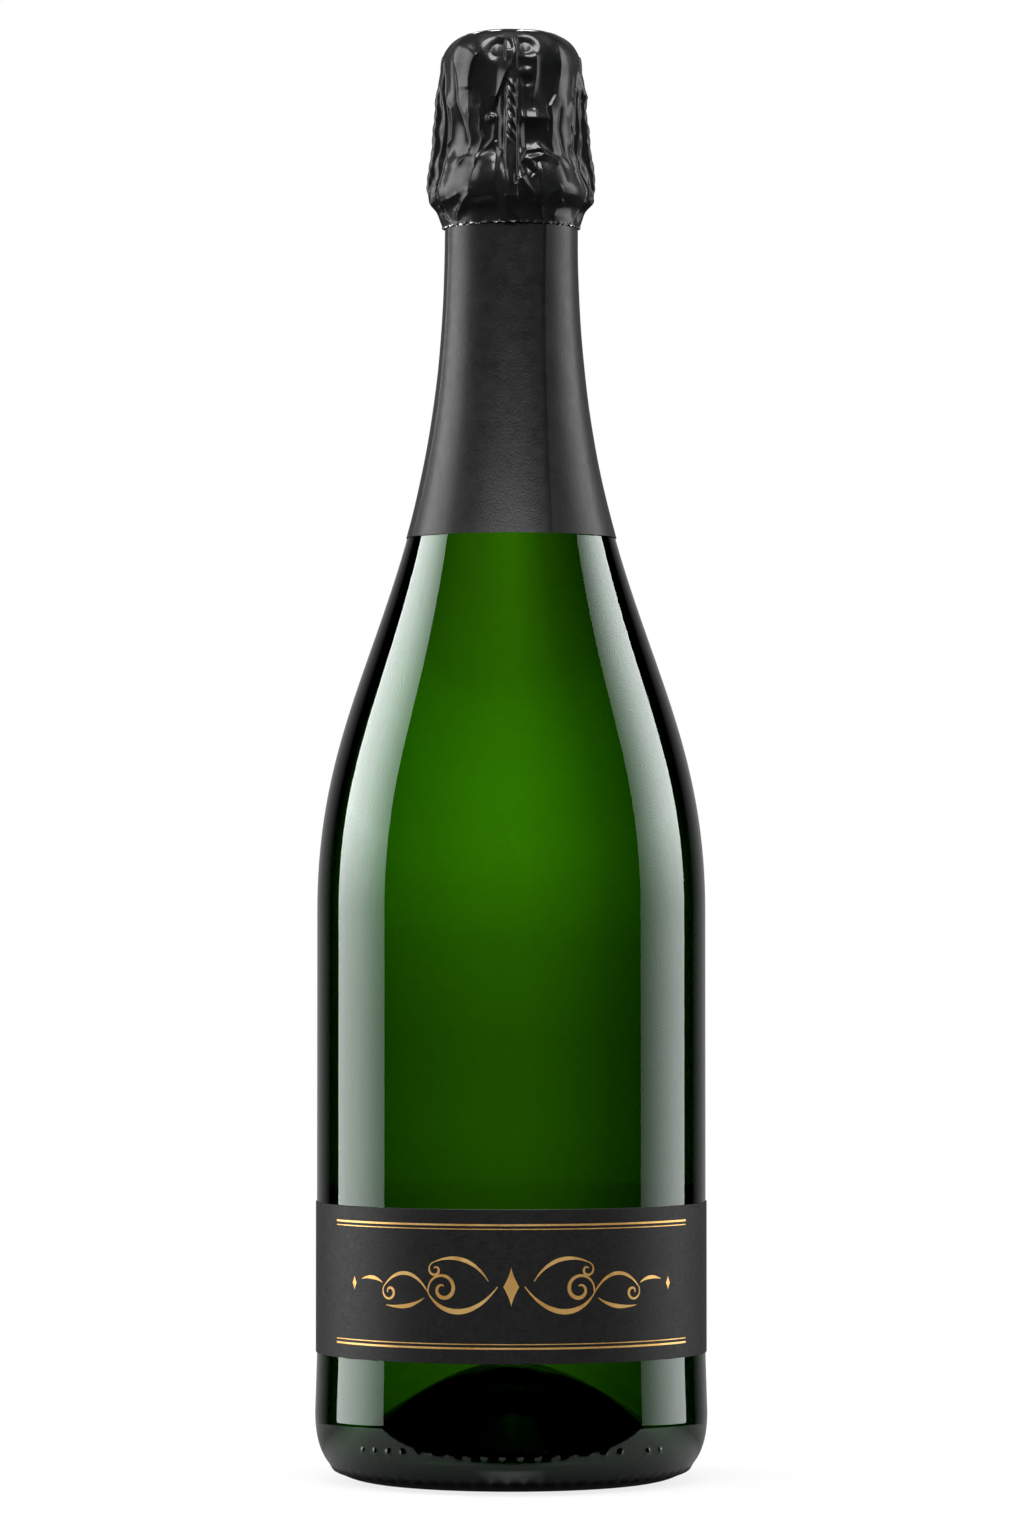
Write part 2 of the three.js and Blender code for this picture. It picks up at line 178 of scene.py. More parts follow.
def smooth(low, high, value):
    t = np.clip((value - low) / (high - low), 0, 1)
    return t * t * (3 - 2 * t)


# Meshes


def around(azimuth, radius, sideways, height):
    """Points by distance from the axis, sideways place and height, at an azimuth from +X."""
    x = radius * np.cos(azimuth) - sideways * np.sin(azimuth)
    y = radius * np.sin(azimuth) + sideways * np.cos(azimuth)
    return np.stack(np.broadcast_arrays(x, y, height), -1)


def turn_from(azimuth, centre):
    """The angle from a centre to an azimuth, between minus and plus half a turn."""
    return (azimuth - centre + math.pi) % FULL_TURN - math.pi


def ring_faces(rows, columns, joined=False):
    """Quads between rings of points, one ring after the other, and from the last to the first if joined."""
    j = np.arange(columns)
    k = (j + 1) % columns
    faces = []
    for i in range(rows if joined else rows - 1):
        low = i * columns
        high = (i + 1) % rows * columns
        faces.append(np.stack([low + j, low + k, high + k, high + j], 1))
    return np.vstack(faces).tolist()


def bar_faces(sides, columns, first=0):
    """Quads along a bar, whose edges are rows of points, and its two ends."""
    faces = []
    for i in range(sides):
        for j in range(columns - 1):
            low = first + i * columns + j
            high = first + (i + 1) % sides * columns + j
            faces.append([low, low + 1, high + 1, high])
    starts = [first + i * columns for i in range(sides)]
    return [*faces, starts, [start + columns - 1 for start in starts[::-1]]]


def add_object(name, data):
    obj = bpy.data.objects.new(name, data)
    bpy.context.scene.collection.objects.link(obj)
    return obj


def make_object(name, points, faces, materials, sharp_degrees=40, material_index=None):
    mesh = bpy.data.meshes.new(name)
    mesh.from_pydata((np.asarray(points) * MM).tolist(), [], faces)
    for material in materials:
        mesh.materials.append(material)
    mesh.polygons.foreach_set("use_smooth", [True] * len(mesh.polygons))
    if material_index is not None:
        mesh.polygons.foreach_set("material_index", material_index)
    mesh.set_sharp_from_angle(angle=math.radians(sharp_degrees))
    mesh.update()
    return add_object(name, mesh)


def lathe_points(points, segments):
    """The turned grid of an outline whose first and last points lie on the axis: rings, then two poles."""
    angle = np.linspace(0, FULL_TURN, segments, endpoint=False)
    inner = points[1:-1]
    rings = around(angle, inner[:, :1], 0.0, inner[:, 1:]).reshape(-1, 3)
    poles = np.array([[0, 0, points[0, 1]], [0, 0, points[-1, 1]]])
    faces = ring_faces(len(inner), segments)
    count = len(rings)
    last = count - segments
    for j in range(segments):
        k = (j + 1) % segments
        faces.append([count, k, j])
        faces.append([count + 1, last + j, last + k])
    return np.vstack([rings, poles]), faces


def lathe(name, points, segments, material, sharp_degrees=40):
    return make_object(name, *lathe_points(points, segments), [material], sharp_degrees)


def tube(name, path, closed):
    """A wire along a path of points, with frames carried along it."""
    if closed:
        along = np.roll(path, -1, 0) - np.roll(path, 1, 0)
    else:
        along = np.gradient(path, axis=0)
    along /= np.linalg.norm(along, axis=1)[:, None]
    normal = np.cross(along[0], [0.3, 0.2, 1.0])
    normals = []
    for tangent in along:
        normal = normal - tangent * np.dot(normal, tangent)
        normal /= np.linalg.norm(normal)
        normals.append(normal)
    normals = np.array(normals)
    sideways = np.cross(along, normals)
    if closed:
        drift = math.atan2(np.dot(normals[-1], sideways[0]), np.dot(normals[-1], normals[0]))
        turned = -drift * np.arange(len(path))[:, None] / len(path)
        normals, sideways = (
            normals * np.cos(turned) + sideways * np.sin(turned),
            sideways * np.cos(turned) - normals * np.sin(turned),
        )
    angle = np.linspace(0, FULL_TURN, WIRE_SIDES, endpoint=False)[None, :, None]
    ring = normals[:, None] * np.cos(angle) + sideways[:, None] * np.sin(angle)
    points = (path[:, None] + WIRE_RADIUS * ring).reshape(-1, 3)
    faces = ring_faces(len(path), WIRE_SIDES, closed)
    if not closed:
        ends = list(range(WIRE_SIDES))
        faces.append(ends[::-1])
        faces.append([len(points) - WIRE_SIDES + j for j in ends])
    return make_object(name, points, faces, [WIRE], 50)


def catmull(points, samples):
    """A smooth line through points, with centripetal spacing."""
    padded = np.vstack([2 * points[0] - points[1], points, 2 * points[-1] - points[-2]])
    t = np.linspace(0, 1, samples, endpoint=False)[:, None]
    line = []
    for i in range(len(points) - 1):
        p0, p1, p2, p3 = padded[i : i + 4]
        d0, d1, d2 = (max(np.linalg.norm(b - a) ** 0.5, 1e-6) for a, b in ((p0, p1), (p1, p2), (p2, p3)))
        m1 = ((p1 - p0) / d0 - (p2 - p0) / (d0 + d1) + (p2 - p1) / d1) * d1
        m2 = ((p2 - p1) / d1 - (p3 - p1) / (d1 + d2) + (p3 - p2) / d2) * d1
        start = (2 * t**3 - 3 * t**2 + 1) * p1 + (t**3 - 2 * t**2 + t) * m1
        line.append(start + (-2 * t**3 + 3 * t**2) * p2 + (t**3 - t**2) * m2)
    return np.vstack([*line, points[-1:]])


def attach(piece, body, node=None):
    """Lets a piece move with a body and stand for a solid."""
    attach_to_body(piece, body)
    if node:
        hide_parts(node)


# Material nodes


def feed(tree, node, inputs):
    """Links sockets to a node's inputs, and sets those that are given as numbers, colours or vectors."""
    for name, value in inputs.items():
        socket = node.inputs[name]
        if isinstance(value, bpy.types.NodeSocket):
            tree.links.new(value, socket)
        elif socket.type == "RGBA":
            socket.default_value = (*value, 1)
        else:
            socket.default_value = value


def add_node(tree, kind, inputs=None, **settings):
    node = tree.nodes.new("ShaderNode" + kind)
    for key, value in settings.items():
        setattr(node, key, value)
    feed(tree, node, inputs or {})
    return node


def new_material(name):
    material = bpy.data.materials.new(name)
    material.use_nodes = True
    tree = material.node_tree
    return material, tree, tree.nodes["Principled BSDF"]


def show(tree, **outputs):
    feed(tree, tree.nodes["Material Output"], outputs)


def object_place(tree):
    return add_node(tree, "TexCoord").outputs["Object"]


def axes(tree, place):
    return add_node(tree, "SeparateXYZ", {"Vector": place}).outputs


def from_axis(tree, place):
    return add_node(tree, "VectorMath", {0: place}, operation="LENGTH").outputs["Value"]


def stretched(tree, place, upward):
    return add_node(tree, "Mapping", {"Vector": place, "Scale": (1, 1, upward)}).outputs["Vector"]


def noise(tree, place, scale, detail=4, rough=0.55):
    inputs = {"Vector": place, "Scale": scale, "Detail": detail, "Roughness": rough}
    return add_node(tree, "TexNoise", inputs).outputs["Fac"]


def cells(tree, place, scale, feature, output):
    return add_node(tree, "TexVoronoi", {"Vector": place, "Scale": scale}, feature=feature).outputs[output]


def ramp(tree, value, stops):
    """Colours by (place, colour) stops: the first, the last, and then any between them."""
    node = add_node(tree, "ValToRGB", {"Fac": value})
    elements = node.color_ramp.elements
    for i, (place, colour) in enumerate(stops):
        element = elements[i] if i < 2 else elements.new(place)
        element.position = place
        element.color = (*colour, 1)
    return node.outputs["Color"]


def spread(tree, value, from_low, from_high, to_low, to_high, shape="LINEAR"):
    inputs = {"Value": value, "From Min": from_low, "From Max": from_high}
    inputs |= {"To Min": to_low, "To Max": to_high}
    return add_node(tree, "MapRange", inputs, interpolation_type=shape).outputs["Result"]


def profile(tree, value, stops):
    """A grey level that follows (place, level) stops along a value. The levels lie between 0 and 1."""
    low, high = stops[0][0], stops[-1][0]
    share = spread(tree, value, low, high, 0.0, 1.0)
    greys = [((place - low) / (high - low), (level, level, level)) for place, level in stops]
    return ramp(tree, share, [greys[0], greys[-1], *greys[1:-1]])


def combine(tree, operation, first, second=0.0):
    return add_node(tree, "Math", {0: first, 1: second}, operation=operation).outputs["Value"]


def product(tree, first, second):
    return combine(tree, "MULTIPLY", first, second)


def mixed_colour(tree, fac, first, second):
    return add_node(tree, "Mix", {"Factor": fac, 6: first, 7: second}, data_type="RGBA").outputs[2]


def mixed_shader(tree, fac, first, second):
    return add_node(tree, "MixShader", {"Fac": fac, 1: first, 2: second}).outputs["Shader"]


def emission(tree, strength):
    return add_node(tree, "Emission", {"Strength": strength}).outputs["Emission"]


def see_through(tree):
    return add_node(tree, "BsdfTransparent").outputs["BSDF"]


def bump(tree, height, strength, depth_m=0.0001):
    inputs = {"Height": height, "Strength": strength, "Distance": depth_m}
    return add_node(tree, "Bump", inputs).outputs["Normal"]


# Glass and wine: clear at the surface, with colour through their thickness


def clear_material(name, ior, colour, density):
    material, tree, shader = new_material(name)
    feed(tree, shader, {"Base Color": (1, 1, 1), "Roughness": 0.0, "IOR": ior, "Transmission Weight": 1.0})
    depth = add_node(tree, "VolumeAbsorption", {"Color": colour, "Density": density})
    show(tree, Volume=depth.outputs["Volume"])
    return material, tree, shader


def glass_material():
    material, tree, shader = clear_material("green_glass", 1.52, (0.536, 0.765, 0.034), 660.0)
    wave = noise(tree, stretched(tree, object_place(tree), 0.5), 45, 1)
    feed(tree, shader, {"Specular Tint": (0.8, 1, 0.88), "Normal": bump(tree, wave, 0.012, 0.002)})
    return material


# Foil: black lacquer on aluminium, with bare specks just above the torn perforations

SPECKS_FROM = 0.08
SPECKS_TO = 0.34
BARE_METAL = (0.78, 0.78, 0.77)


def foil_material(name, roughness, specular, coat, coat_roughness, speckled):
    material, tree, shader = new_material(name)
    place = object_place(tree)
    tones = [(0.3, (0.0038, 0.0041, 0.0044)), (0.7, (0.0072, 0.0076, 0.008))]
    colour = ramp(tree, noise(tree, place, 160, 3), tones)
    if speckled:
        low, high = ((TEAR_HEIGHT + lift) * MM for lift in (SPECKS_FROM, SPECKS_TO))
        near = spread(tree, axes(tree, place)["Z"], low, high, 1.0, 0.0)
        spots = spread(tree, noise(tree, stretched(tree, place, 2.5), 430, 3), 0.57, 0.6, 0.0, 1.0)
        bare = product(tree, near, spots)
        colour = mixed_colour(tree, bare, colour, BARE_METAL)
        feed(tree, shader, {"Metallic": bare})
    inputs = {
        "Base Color": colour,
        "Roughness": spread(tree, noise(tree, place, 420), 0.3, 0.7, roughness - 0.05, roughness + 0.06),
        "Specular IOR Level": specular,
        "Coat Weight": coat,
        "Coat Roughness": coat_roughness,
        "Normal": bump(tree, noise(tree, place, 1700, 2), 0.45, 0.00013),
    }
    feed(tree, shader, inputs)
    return material


# Label: black laid paper


def paper_material():
    material, tree, shader = new_material("label_paper")
    place = object_place(tree)
    fibre = noise(tree, stretched(tree, place, 2.2), 1500, 4, 0.6)
    inputs = {
        "Base Color": ramp(tree, fibre, [(0.3, (0.002, 0.002, 0.002)), (0.72, (0.008, 0.008, 0.008))]),
        "Roughness": spread(tree, noise(tree, place, 700, 3), 0.3, 0.7, 0.44, 0.56),
        "Specular IOR Level": 0.19,
        "Normal": bump(tree, fibre, 0.35, 0.00015),
    }
    feed(tree, shader, inputs)
    return material


# Gold print, foil seen from inside, cap and wires: metals of two tones


def metal_material(name, metallic, tones, clouds, roughness, smears, grain, grain_strength):
    """Clouds, smears and grain are noises, each with its scale and its detail."""
    material, tree, shader = new_material(name)
    place = object_place(tree)
    inputs = {
        "Base Color": ramp(tree, noise(tree, place, *clouds), list(zip((0.3, 0.7), tones))),
        "Metallic": metallic,
        "Roughness": spread(tree, noise(tree, place, *smears), 0.3, 0.7, *roughness),
        "Normal": bump(tree, noise(tree, place, *grain), grain_strength),
    }
    feed(tree, shader, inputs)
    return material


# Cork: granules with dark seams and flecks


def cork_material(name, granule, light, dark):
    material, tree, shader = new_material(name)
    place = object_place(tree)
    granules = cells(tree, place, granule, "F1", "Color")
    grey = add_node(tree, "SeparateColor", {"Color": granules}).outputs["Red"]
    tone = ramp(tree, grey, [(0.0, dark), (1.0, light)])
    edge = cells(tree, place, granule, "DISTANCE_TO_EDGE", "Distance")
    seam = spread(tree, edge, 0.0, 0.06, 1.0, 0.0, "SMOOTHSTEP")
    fleck = spread(tree, noise(tree, place, 900, 4, 0.6), 0.62, 0.7, 0.0, 0.75)
    marks = combine(tree, "MAXIMUM", product(tree, seam, 0.45), fleck)
    lift = combine(tree, "SUBTRACT", noise(tree, place, 1300), marks)
    inputs = {
        "Base Color": mixed_colour(tree, marks, tone, (0.13, 0.06, 0.022)),
        "Roughness": 0.85,
        "Specular IOR Level": 0.25,
        "Normal": bump(tree, lift, 0.5, 0.0003),
    }
    feed(tree, shader, inputs)
    return material


GLASS = glass_material()
WINE = clear_material("wine", 1.34, (0.96, 0.9, 0.55), 6.0)[0]
SLEEVE_FOIL = foil_material("sleeve_foil", 0.44, 0.12, 0.13, 0.24, False)
HOOD_FOIL = foil_material("hood_foil", 0.36, 0.06, 0.18, 0.15, True)
PAPER = paper_material()
SILVERS = ((0.5, 0.5, 0.49), (0.66, 0.66, 0.65))
GOLDS = ((0.62, 0.33, 0.085), (0.86, 0.55, 0.2))
BRASSES = ((0.3, 0.22, 0.075), (0.4, 0.3, 0.115))
STEELS = ((0.45, 0.45, 0.44), (0.62, 0.62, 0.61))
FOIL_INSIDE = metal_material("foil_inside", 0.85, SILVERS, (300, 4), (0.34, 0.5), (500, 3), (1800, 3), 0.15)
GOLD = metal_material("gold_blocking", 0.75, GOLDS, (90, 3), (0.34, 0.48), (900, 3), (1500, 2), 0.2)
TINPLATE = metal_material("cap_tinplate", 0.8, BRASSES, (140, 4), (0.27, 0.42), (700, 4), (1600, 3), 0.12)
WIRE = metal_material("cage_wire", 0.9, STEELS, (600, 4), (0.3, 0.46), (1800, 3), (3500, 3), 0.2)
AGGLOMERATE = cork_material("agglomerated_cork", 420, (0.6, 0.38, 0.18), (0.36, 0.2, 0.085))
NATURAL_CORK = cork_material("natural_cork", 190, (0.6, 0.39, 0.19), (0.5, 0.3, 0.135))

# Glass body, with a row of dots on the front of the heel and a knurl below it

GLASS_SEGMENTS = 720
WINE_SEGMENTS = 192
DOT_HEIGHT = 8.8
DOT_COUNT = 70
DOT_LIFT = 0.55
DOT_HALF_TURN = math.radians(50)
DOT_REACH = 0.58
# Dots that are worn, and how much of them is left
DOT_GAPS = (9, 10, 16, 31, 32, 40, 47, 60)
WORN_SHARE = 0.25
KNURL_HEIGHT = 2.7
KNURL_COUNT = 67
KNURL_LIFT = 0.42
KNURL_REACH = 0.75
WINE_OVERLAP = 0.06
# The edge of the wine: how far from the wall, and how high it creeps
MENISCUS = ((0, 0.6), (0.8, 0.15), (2.2, 0))
INNER_PUNT_RADIUS = INNER_RADIUS - INNER_HEEL_WIDTH

shoulder = bezier(
    (BODY_RADIUS, BODY_HEIGHT),
    (BODY_RADIUS, BODY_HEIGHT + SHOULDER_EASE),
    (NECK_RADIUS, NECK_HEIGHT - NECK_EASE),
    (NECK_RADIUS, NECK_HEIGHT),
    56,
)
heel = bezier(
    (BEARING_OUTER, 0),
    (BEARING_OUTER + HEEL_LEVEL, 0),
    (HEEL_RADIUS, HEEL_HEIGHT - HEEL_UPRIGHT),
    (HEEL_RADIUS, HEEL_HEIGHT),
    90,
)
inner_shoulder = bezier(
    (BORE_RADIUS, BORE_BOTTOM),
    (BORE_RADIUS, BORE_BOTTOM - INNER_NECK_EASE),
    (INNER_RADIUS, BODY_HEIGHT + INNER_SHOULDER_EASE),
    (INNER_RADIUS, BODY_HEIGHT),
    48,
)
inner_heel = bezier(
    (INNER_RADIUS, FLOOR_GLASS + INNER_HEEL),
    (INNER_RADIUS, FLOOR_GLASS + INNER_HEEL / 3),
    (INNER_RADIUS, FLOOR_GLASS),
    (INNER_PUNT_RADIUS, FLOOR_GLASS),
    16,
)
inner_punt = punt(PUNT_DEPTH + PUNT_GLASS, FLOOR_GLASS, INNER_PUNT_RADIUS, INNER_PUNT_POINT, 36)[::-1]
cavity = outline(inner_shoulder, inner_heel, inner_punt)


def finish_outline():
    """Groove, ring, collar and lip above the neck, then over the mouth."""
    return outline(
        (NECK_RADIUS, GROOVE_BOTTOM),
        (GROOVE_RADIUS, GROOVE_BOTTOM + GROOVE_SLOPE),
        (GROOVE_RADIUS, RING_BOTTOM),
        arc(RING_RADIUS - RING_ROUND, RING_BOTTOM + RING_ROUND, RING_ROUND, -90, 0, 6),
        arc(RING_RADIUS - RING_ROUND, RING_TOP - RING_ROUND, RING_ROUND, 0, 90, 6),
        (COLLAR_RADIUS, RING_TOP),
        (COLLAR_RADIUS, LIP_BOTTOM),
        (LIP_RADIUS, LIP_BOTTOM + LIP_SLOPE),
        arc(LIP_RADIUS - LIP_ROUND, MOUTH - LIP_ROUND, LIP_ROUND, 0, 90, 6),
        arc(BORE_RADIUS + MOUTH_ROUND, MOUTH - MOUTH_ROUND, MOUTH_ROUND, 90, 180, 5),
    )


def bump_row(angle, height, radius, count, centre, lift, reach, worn=()):
    """A row of small bumps round the glass, as how far each point stands out."""
    step = FULL_TURN / count
    index = np.round(angle / step)
    away = (angle - index * step) * radius
    shape = lift * np.exp(-((away / reach) ** 2) - ((height - centre) / reach) ** 2)
    return np.where(np.isin(index % count, worn), WORN_SHARE * shape, shape)


def make_glass():
    base = punt(PUNT_DEPTH, 0, BEARING_INNER, PUNT_POINT, 30)
    points = outline(base, heel, (BODY_RADIUS, BODY_LOW), shoulder, finish_outline(), cavity)
    grid, faces = lathe_points(points, GLASS_SEGMENTS)
    rings = grid[:-2].reshape(-1, GLASS_SEGMENTS, 3)
    slope = directions(points)
    lower = (points[1:-1, 0] > BEARING_OUTER - 0.5) & (points[1:-1, 1] < HEEL_HEIGHT)
    for row in np.flatnonzero(lower):
        ring = rings[row]
        angle = np.arctan2(ring[:, 1], ring[:, 0]) % FULL_TURN
        radius, height = points[row + 1]
        lift = bump_row(angle, height, radius, DOT_COUNT, DOT_HEIGHT, DOT_LIFT, DOT_REACH, DOT_GAPS)
        lift *= np.abs(turn_from(angle, FRONT)) < DOT_HALF_TURN
        lift += bump_row(angle, height, radius, KNURL_COUNT, KNURL_HEIGHT, KNURL_LIFT, KNURL_REACH)
        inward, outward = slope[row + 1]
        ring[:, 0] += lift * outward * np.cos(angle)
        ring[:, 1] += lift * outward * np.sin(angle)
        ring[:, 2] = np.maximum(ring[:, 2] - lift * inward, 0)
    return make_object("glass", grid, faces, [GLASS], 35)


def make_wine():
    """The wine reaches a hair into the glass, so that no air shows between them."""
    wall = offset(cavity[::-1], WINE_OVERLAP)
    wall[0] = (0, PUNT_DEPTH + PUNT_GLASS - WINE_OVERLAP)
    wall = wall[wall[:, 1] < WINE_LEVEL]
    edge = [(wall[-1][0] - inward, WINE_LEVEL + rise) for inward, rise in MENISCUS]
    return lathe("wine_fill", outline(wall, edge, (0, WINE_LEVEL)), WINE_SEGMENTS, WINE, 60)


attach(make_glass(), "bottle", "glass_bottle")
attach(make_wine(), "bottle", "wine")

# Label strip

LABEL_COLUMNS = 300
LABEL_EDGE = 0.05


def make_label():
    ends = math.radians(LABEL_END_DEGREES)
    angle = np.linspace(math.pi / 2 + ends, math.pi / 2 + FULL_TURN - ends, LABEL_COLUMNS)
    section = [
        (LABEL_OUTER, LABEL_BOTTOM + LABEL_EDGE),
        (LABEL_OUTER, LABEL_TOP - LABEL_EDGE),
        (LABEL_OUTER - LABEL_EDGE, LABEL_TOP),
        (LABEL_INNER, LABEL_TOP),
        (LABEL_INNER, LABEL_BOTTOM),
        (LABEL_OUTER - LABEL_EDGE, LABEL_BOTTOM),
    ]
    points = np.vstack([around(angle, radius, 0.0, height) for radius, height in section])
    return make_object("label", points, bar_faces(len(section), LABEL_COLUMNS), [PAPER], 30)


# Gold print on the label: rules and a generic scroll, drawn flat from the middle of the label

LABEL_MIDDLE = (LABEL_BOTTOM + LABEL_TOP) / 2
PRINT_LOW = 0.004
PRINT_HIGH = 0.03
RULE_HALF_LENGTH = 47
# Height of each rule and its width
RULES = ((-13.4, 0.42), (-12.5, 0.2), (12.5, 0.2), (13.4, 0.42))
# Middle, half width and half height of each diamond
DIAMONDS = ((0.0, 1.7, 4.2), (39.6, 0.7, 1.5), (-39.6, 0.7, 1.5))


def spiral(centre, start_radius, end_radius, start_degrees, turns):
    t = np.linspace(0, 1, 60)
    angle = np.radians(start_degrees) + FULL_TURN * turns * t
    radius = start_radius + (end_radius - start_radius) * t
    return np.stack([centre[0] + radius * np.cos(angle), centre[1] + radius * np.sin(angle)], 1)


# Each stroke on the right half, with its width at its ends and in its middle
STROKES = [
    (bezier((3.0, 0.0), (8.5, -7.5), (15.5, -6.5), (18.6, -1.6), 40), 0.25, 1.15),
    (spiral((15.2, -0.6), 3.55, 0.7, -16, 1.35), 0.3, 0.85),
    (bezier((5.0, 1.2), (8.0, 6.2), (13.0, 7.2), (17.4, 5.2), 40), 0.2, 0.85),
    (spiral((17.0, 3.6), 1.65, 0.4, 78, -1.1), 0.22, 0.55),
    (bezier((18.6, -1.6), (22.0, 4.2), (27.0, 3.6), (30.2, -0.4), 40), 0.22, 0.8),
    (spiral((28.6, -1.5), 1.95, 0.45, 36, -1.15), 0.22, 0.6),
    (bezier((19.6, -2.6), (22.5, -4.6), (25.5, -5.0), (29.5, -4.4), 30), 0.15, 0.9),
    (bezier((30.6, 0.4), (32.4, 1.6), (34.6, 1.8), (37.0, 1.0), 30), 0.15, 0.8),
]


def print_edges(line, widths):
    """The right and left edges of a stroke."""
    along = directions(line)
    side = np.stack([-along[:, 1], along[:, 0]], 1) * np.asarray(widths)[:, None] / 2
    return line - side, line + side


def print_points(flat, lift):
    return around(FRONT + flat[:, 0] / LABEL_OUTER, LABEL_OUTER + lift, 0.0, LABEL_MIDDLE + flat[:, 1])


def make_print():
    strips = []
    across = np.linspace(-RULE_HALF_LENGTH, RULE_HALF_LENGTH, 160)
    for height, width in RULES:
        line = np.stack([across, np.full(len(across), height)], 1)
        strips.append(print_edges(line, np.full(len(across), width)))
    for mirror in (1, -1):
        for line, thin, thick in STROKES:
            widths = thin + (thick - thin) * np.sin(np.linspace(0, math.pi, len(line))) ** 1.3
            right, left = print_edges(line * np.array([mirror, 1]), widths)
            strips.append((right[::mirror], left[::mirror]))
    for centre, half_width, half_height in DIAMONDS:
        t = np.linspace(-1, 1, 41)
        curve = half_width * (1 - np.abs(t)) ** 1.4 + 0.02
        right, middle, left = (np.stack([centre + side * curve, half_height * t], 1) for side in (1, 0, -1))
        strips += [(right, middle), (middle, left)]
    points = []
    faces = []
    first = 0
    for right, left in strips:
        faces += bar_faces(4, len(right), first)
        points += [print_points(right, PRINT_HIGH), print_points(left, PRINT_HIGH)]
        points += [print_points(left, PRINT_LOW), print_points(right, PRINT_LOW)]
        first += 4 * len(right)
    return make_object("label_print", np.vstack(points), faces, [GOLD], 40)


attach(make_label(), "bottle", "label_band")
attach(make_print(), "bottle")

# Foil sleeve: wrapped round the neck, with its lap at the front right

SLEEVE_COLUMNS = 420
SLEEVE_ROWS = 90
LAP_TOP_DEGREES = 31.0
LAP_BOTTOM_DEGREES = 23.0
LAP_STEP = 0.3
LAP_GROOVE = 0.16
LAP_GROOVE_WIDTH = 0.6
LAP_TOP_FADE = 0.16
LAP_BOTTOM_FADE = 0.4
CREASE_DEGREES = -70.0
CREASE_LIFT = 0.16
CREASE_WIDTH = 0.5
RIPPLE_LIFT = 0.035
DENT_ACROSS = 2.6
DENT_HEIGHT = 275.5
DENT_HALF_WIDTH = 0.8
DENT_HALF_HEIGHT = 1.6
DENT_DEPTH = 0.12


def make_sleeve():
    height = np.linspace(SLEEVE_BOTTOM, SLEEVE_TOP, SLEEVE_ROWS)[:, None]
    share = (height - SLEEVE_BOTTOM) / (SLEEVE_TOP - SLEEVE_BOTTOM)
    lap = np.radians(LAP_BOTTOM_DEGREES + (LAP_TOP_DEGREES - LAP_BOTTOM_DEGREES) * share)
    turned = np.linspace(0, FULL_TURN, SLEEVE_COLUMNS, endpoint=False)[None, :]
    azimuth = lap + FRONT + turned
    front_turn = turn_from(azimuth, FRONT)
    wall = np.interp(height, shoulder[:, 1], shoulder[:, 0])
    fade = LAP_BOTTOM_FADE + (LAP_TOP_FADE - LAP_BOTTOM_FADE) * share
    radius = wall + FOIL_GAP + FOIL_THICKNESS + LAP_STEP * np.exp(-turned / fade)
    radius = radius - LAP_GROOVE * np.exp(-(FULL_TURN - turned) * wall / LAP_GROOVE_WIDTH)
    away = (front_turn - math.radians(CREASE_DEGREES)) * wall
    radius = radius + CREASE_LIFT * np.exp(-np.abs(away) / CREASE_WIDTH)
    ripple = np.sin(3 * azimuth + 0.05 * height) * np.sin(0.11 * height + 1.0)
    ripple = ripple + 0.6 * np.sin(7 * azimuth + 0.16 * height + 0.4) * np.sin(0.23 * height)
    across = (front_turn * wall - DENT_ACROSS) / DENT_HALF_WIDTH
    dent = np.exp(-(across**2) - ((height - DENT_HEIGHT) / DENT_HALF_HEIGHT) ** 2)
    radius = radius + RIPPLE_LIFT * ripple - DENT_DEPTH * dent
    outer = around(azimuth, radius, 0.0, height)
    inner = around(azimuth, radius - FOIL_THICKNESS, 0.0, height)[::-1]
    points = np.vstack([outer.reshape(-1, 3), inner.reshape(-1, 3)])
    faces = ring_faces(2 * SLEEVE_ROWS, SLEEVE_COLUMNS, True)
    return make_object("neck_sleeve", points, faces, [SLEEVE_FOIL], 30)


attach(make_sleeve(), "bottle", "foil_sleeve")

# Foil hood: pressed on the cork, the lip and the ring, drawn over the wires, pleated and crumpled

HOOD_COLUMNS = 600
SIDE_ROWS = 190
CORNER_ROWS = 50
TOP_ROWS = 14
UNROLL_RADIUS = 15.4
UNROLLED = FULL_TURN * UNROLL_RADIUS
LEG_HALF_ANGLE = math.radians(13)
LOOP_HALF_ANGLE = math.radians(30)
TWIST_PITCH = 2.8
TWIST_SLANT = 1.5
# How far the strands stand out on each leg, and where the twist ends there
TWIST_LIFTS = (0.14, 0.34, 0.14, 0.46)
TWIST_FEET = (287.0, 287.0, 287.0, 297.0)
ROPE_HALF_WIDTH = 1.2
ROPE_LIFT = 0.32
ROPE_GROOVE = 0.6
HOOD_DOME = 0.5
# How far the foil can be pressed in at the top's edge, between the legs and over them
CORNER_ROOM = 1.0
LEG_ROOM = 0.12
HOOD_SEED = 7
PLEATS = 20
CREASES = 16
WAVES = 26
WAVE_LIFT = 0.022
# How far from the front the seeded folds stay
FRONT_REACH = 17.0
# Points over which the rows below are softened
SOFT_SPAN = 17

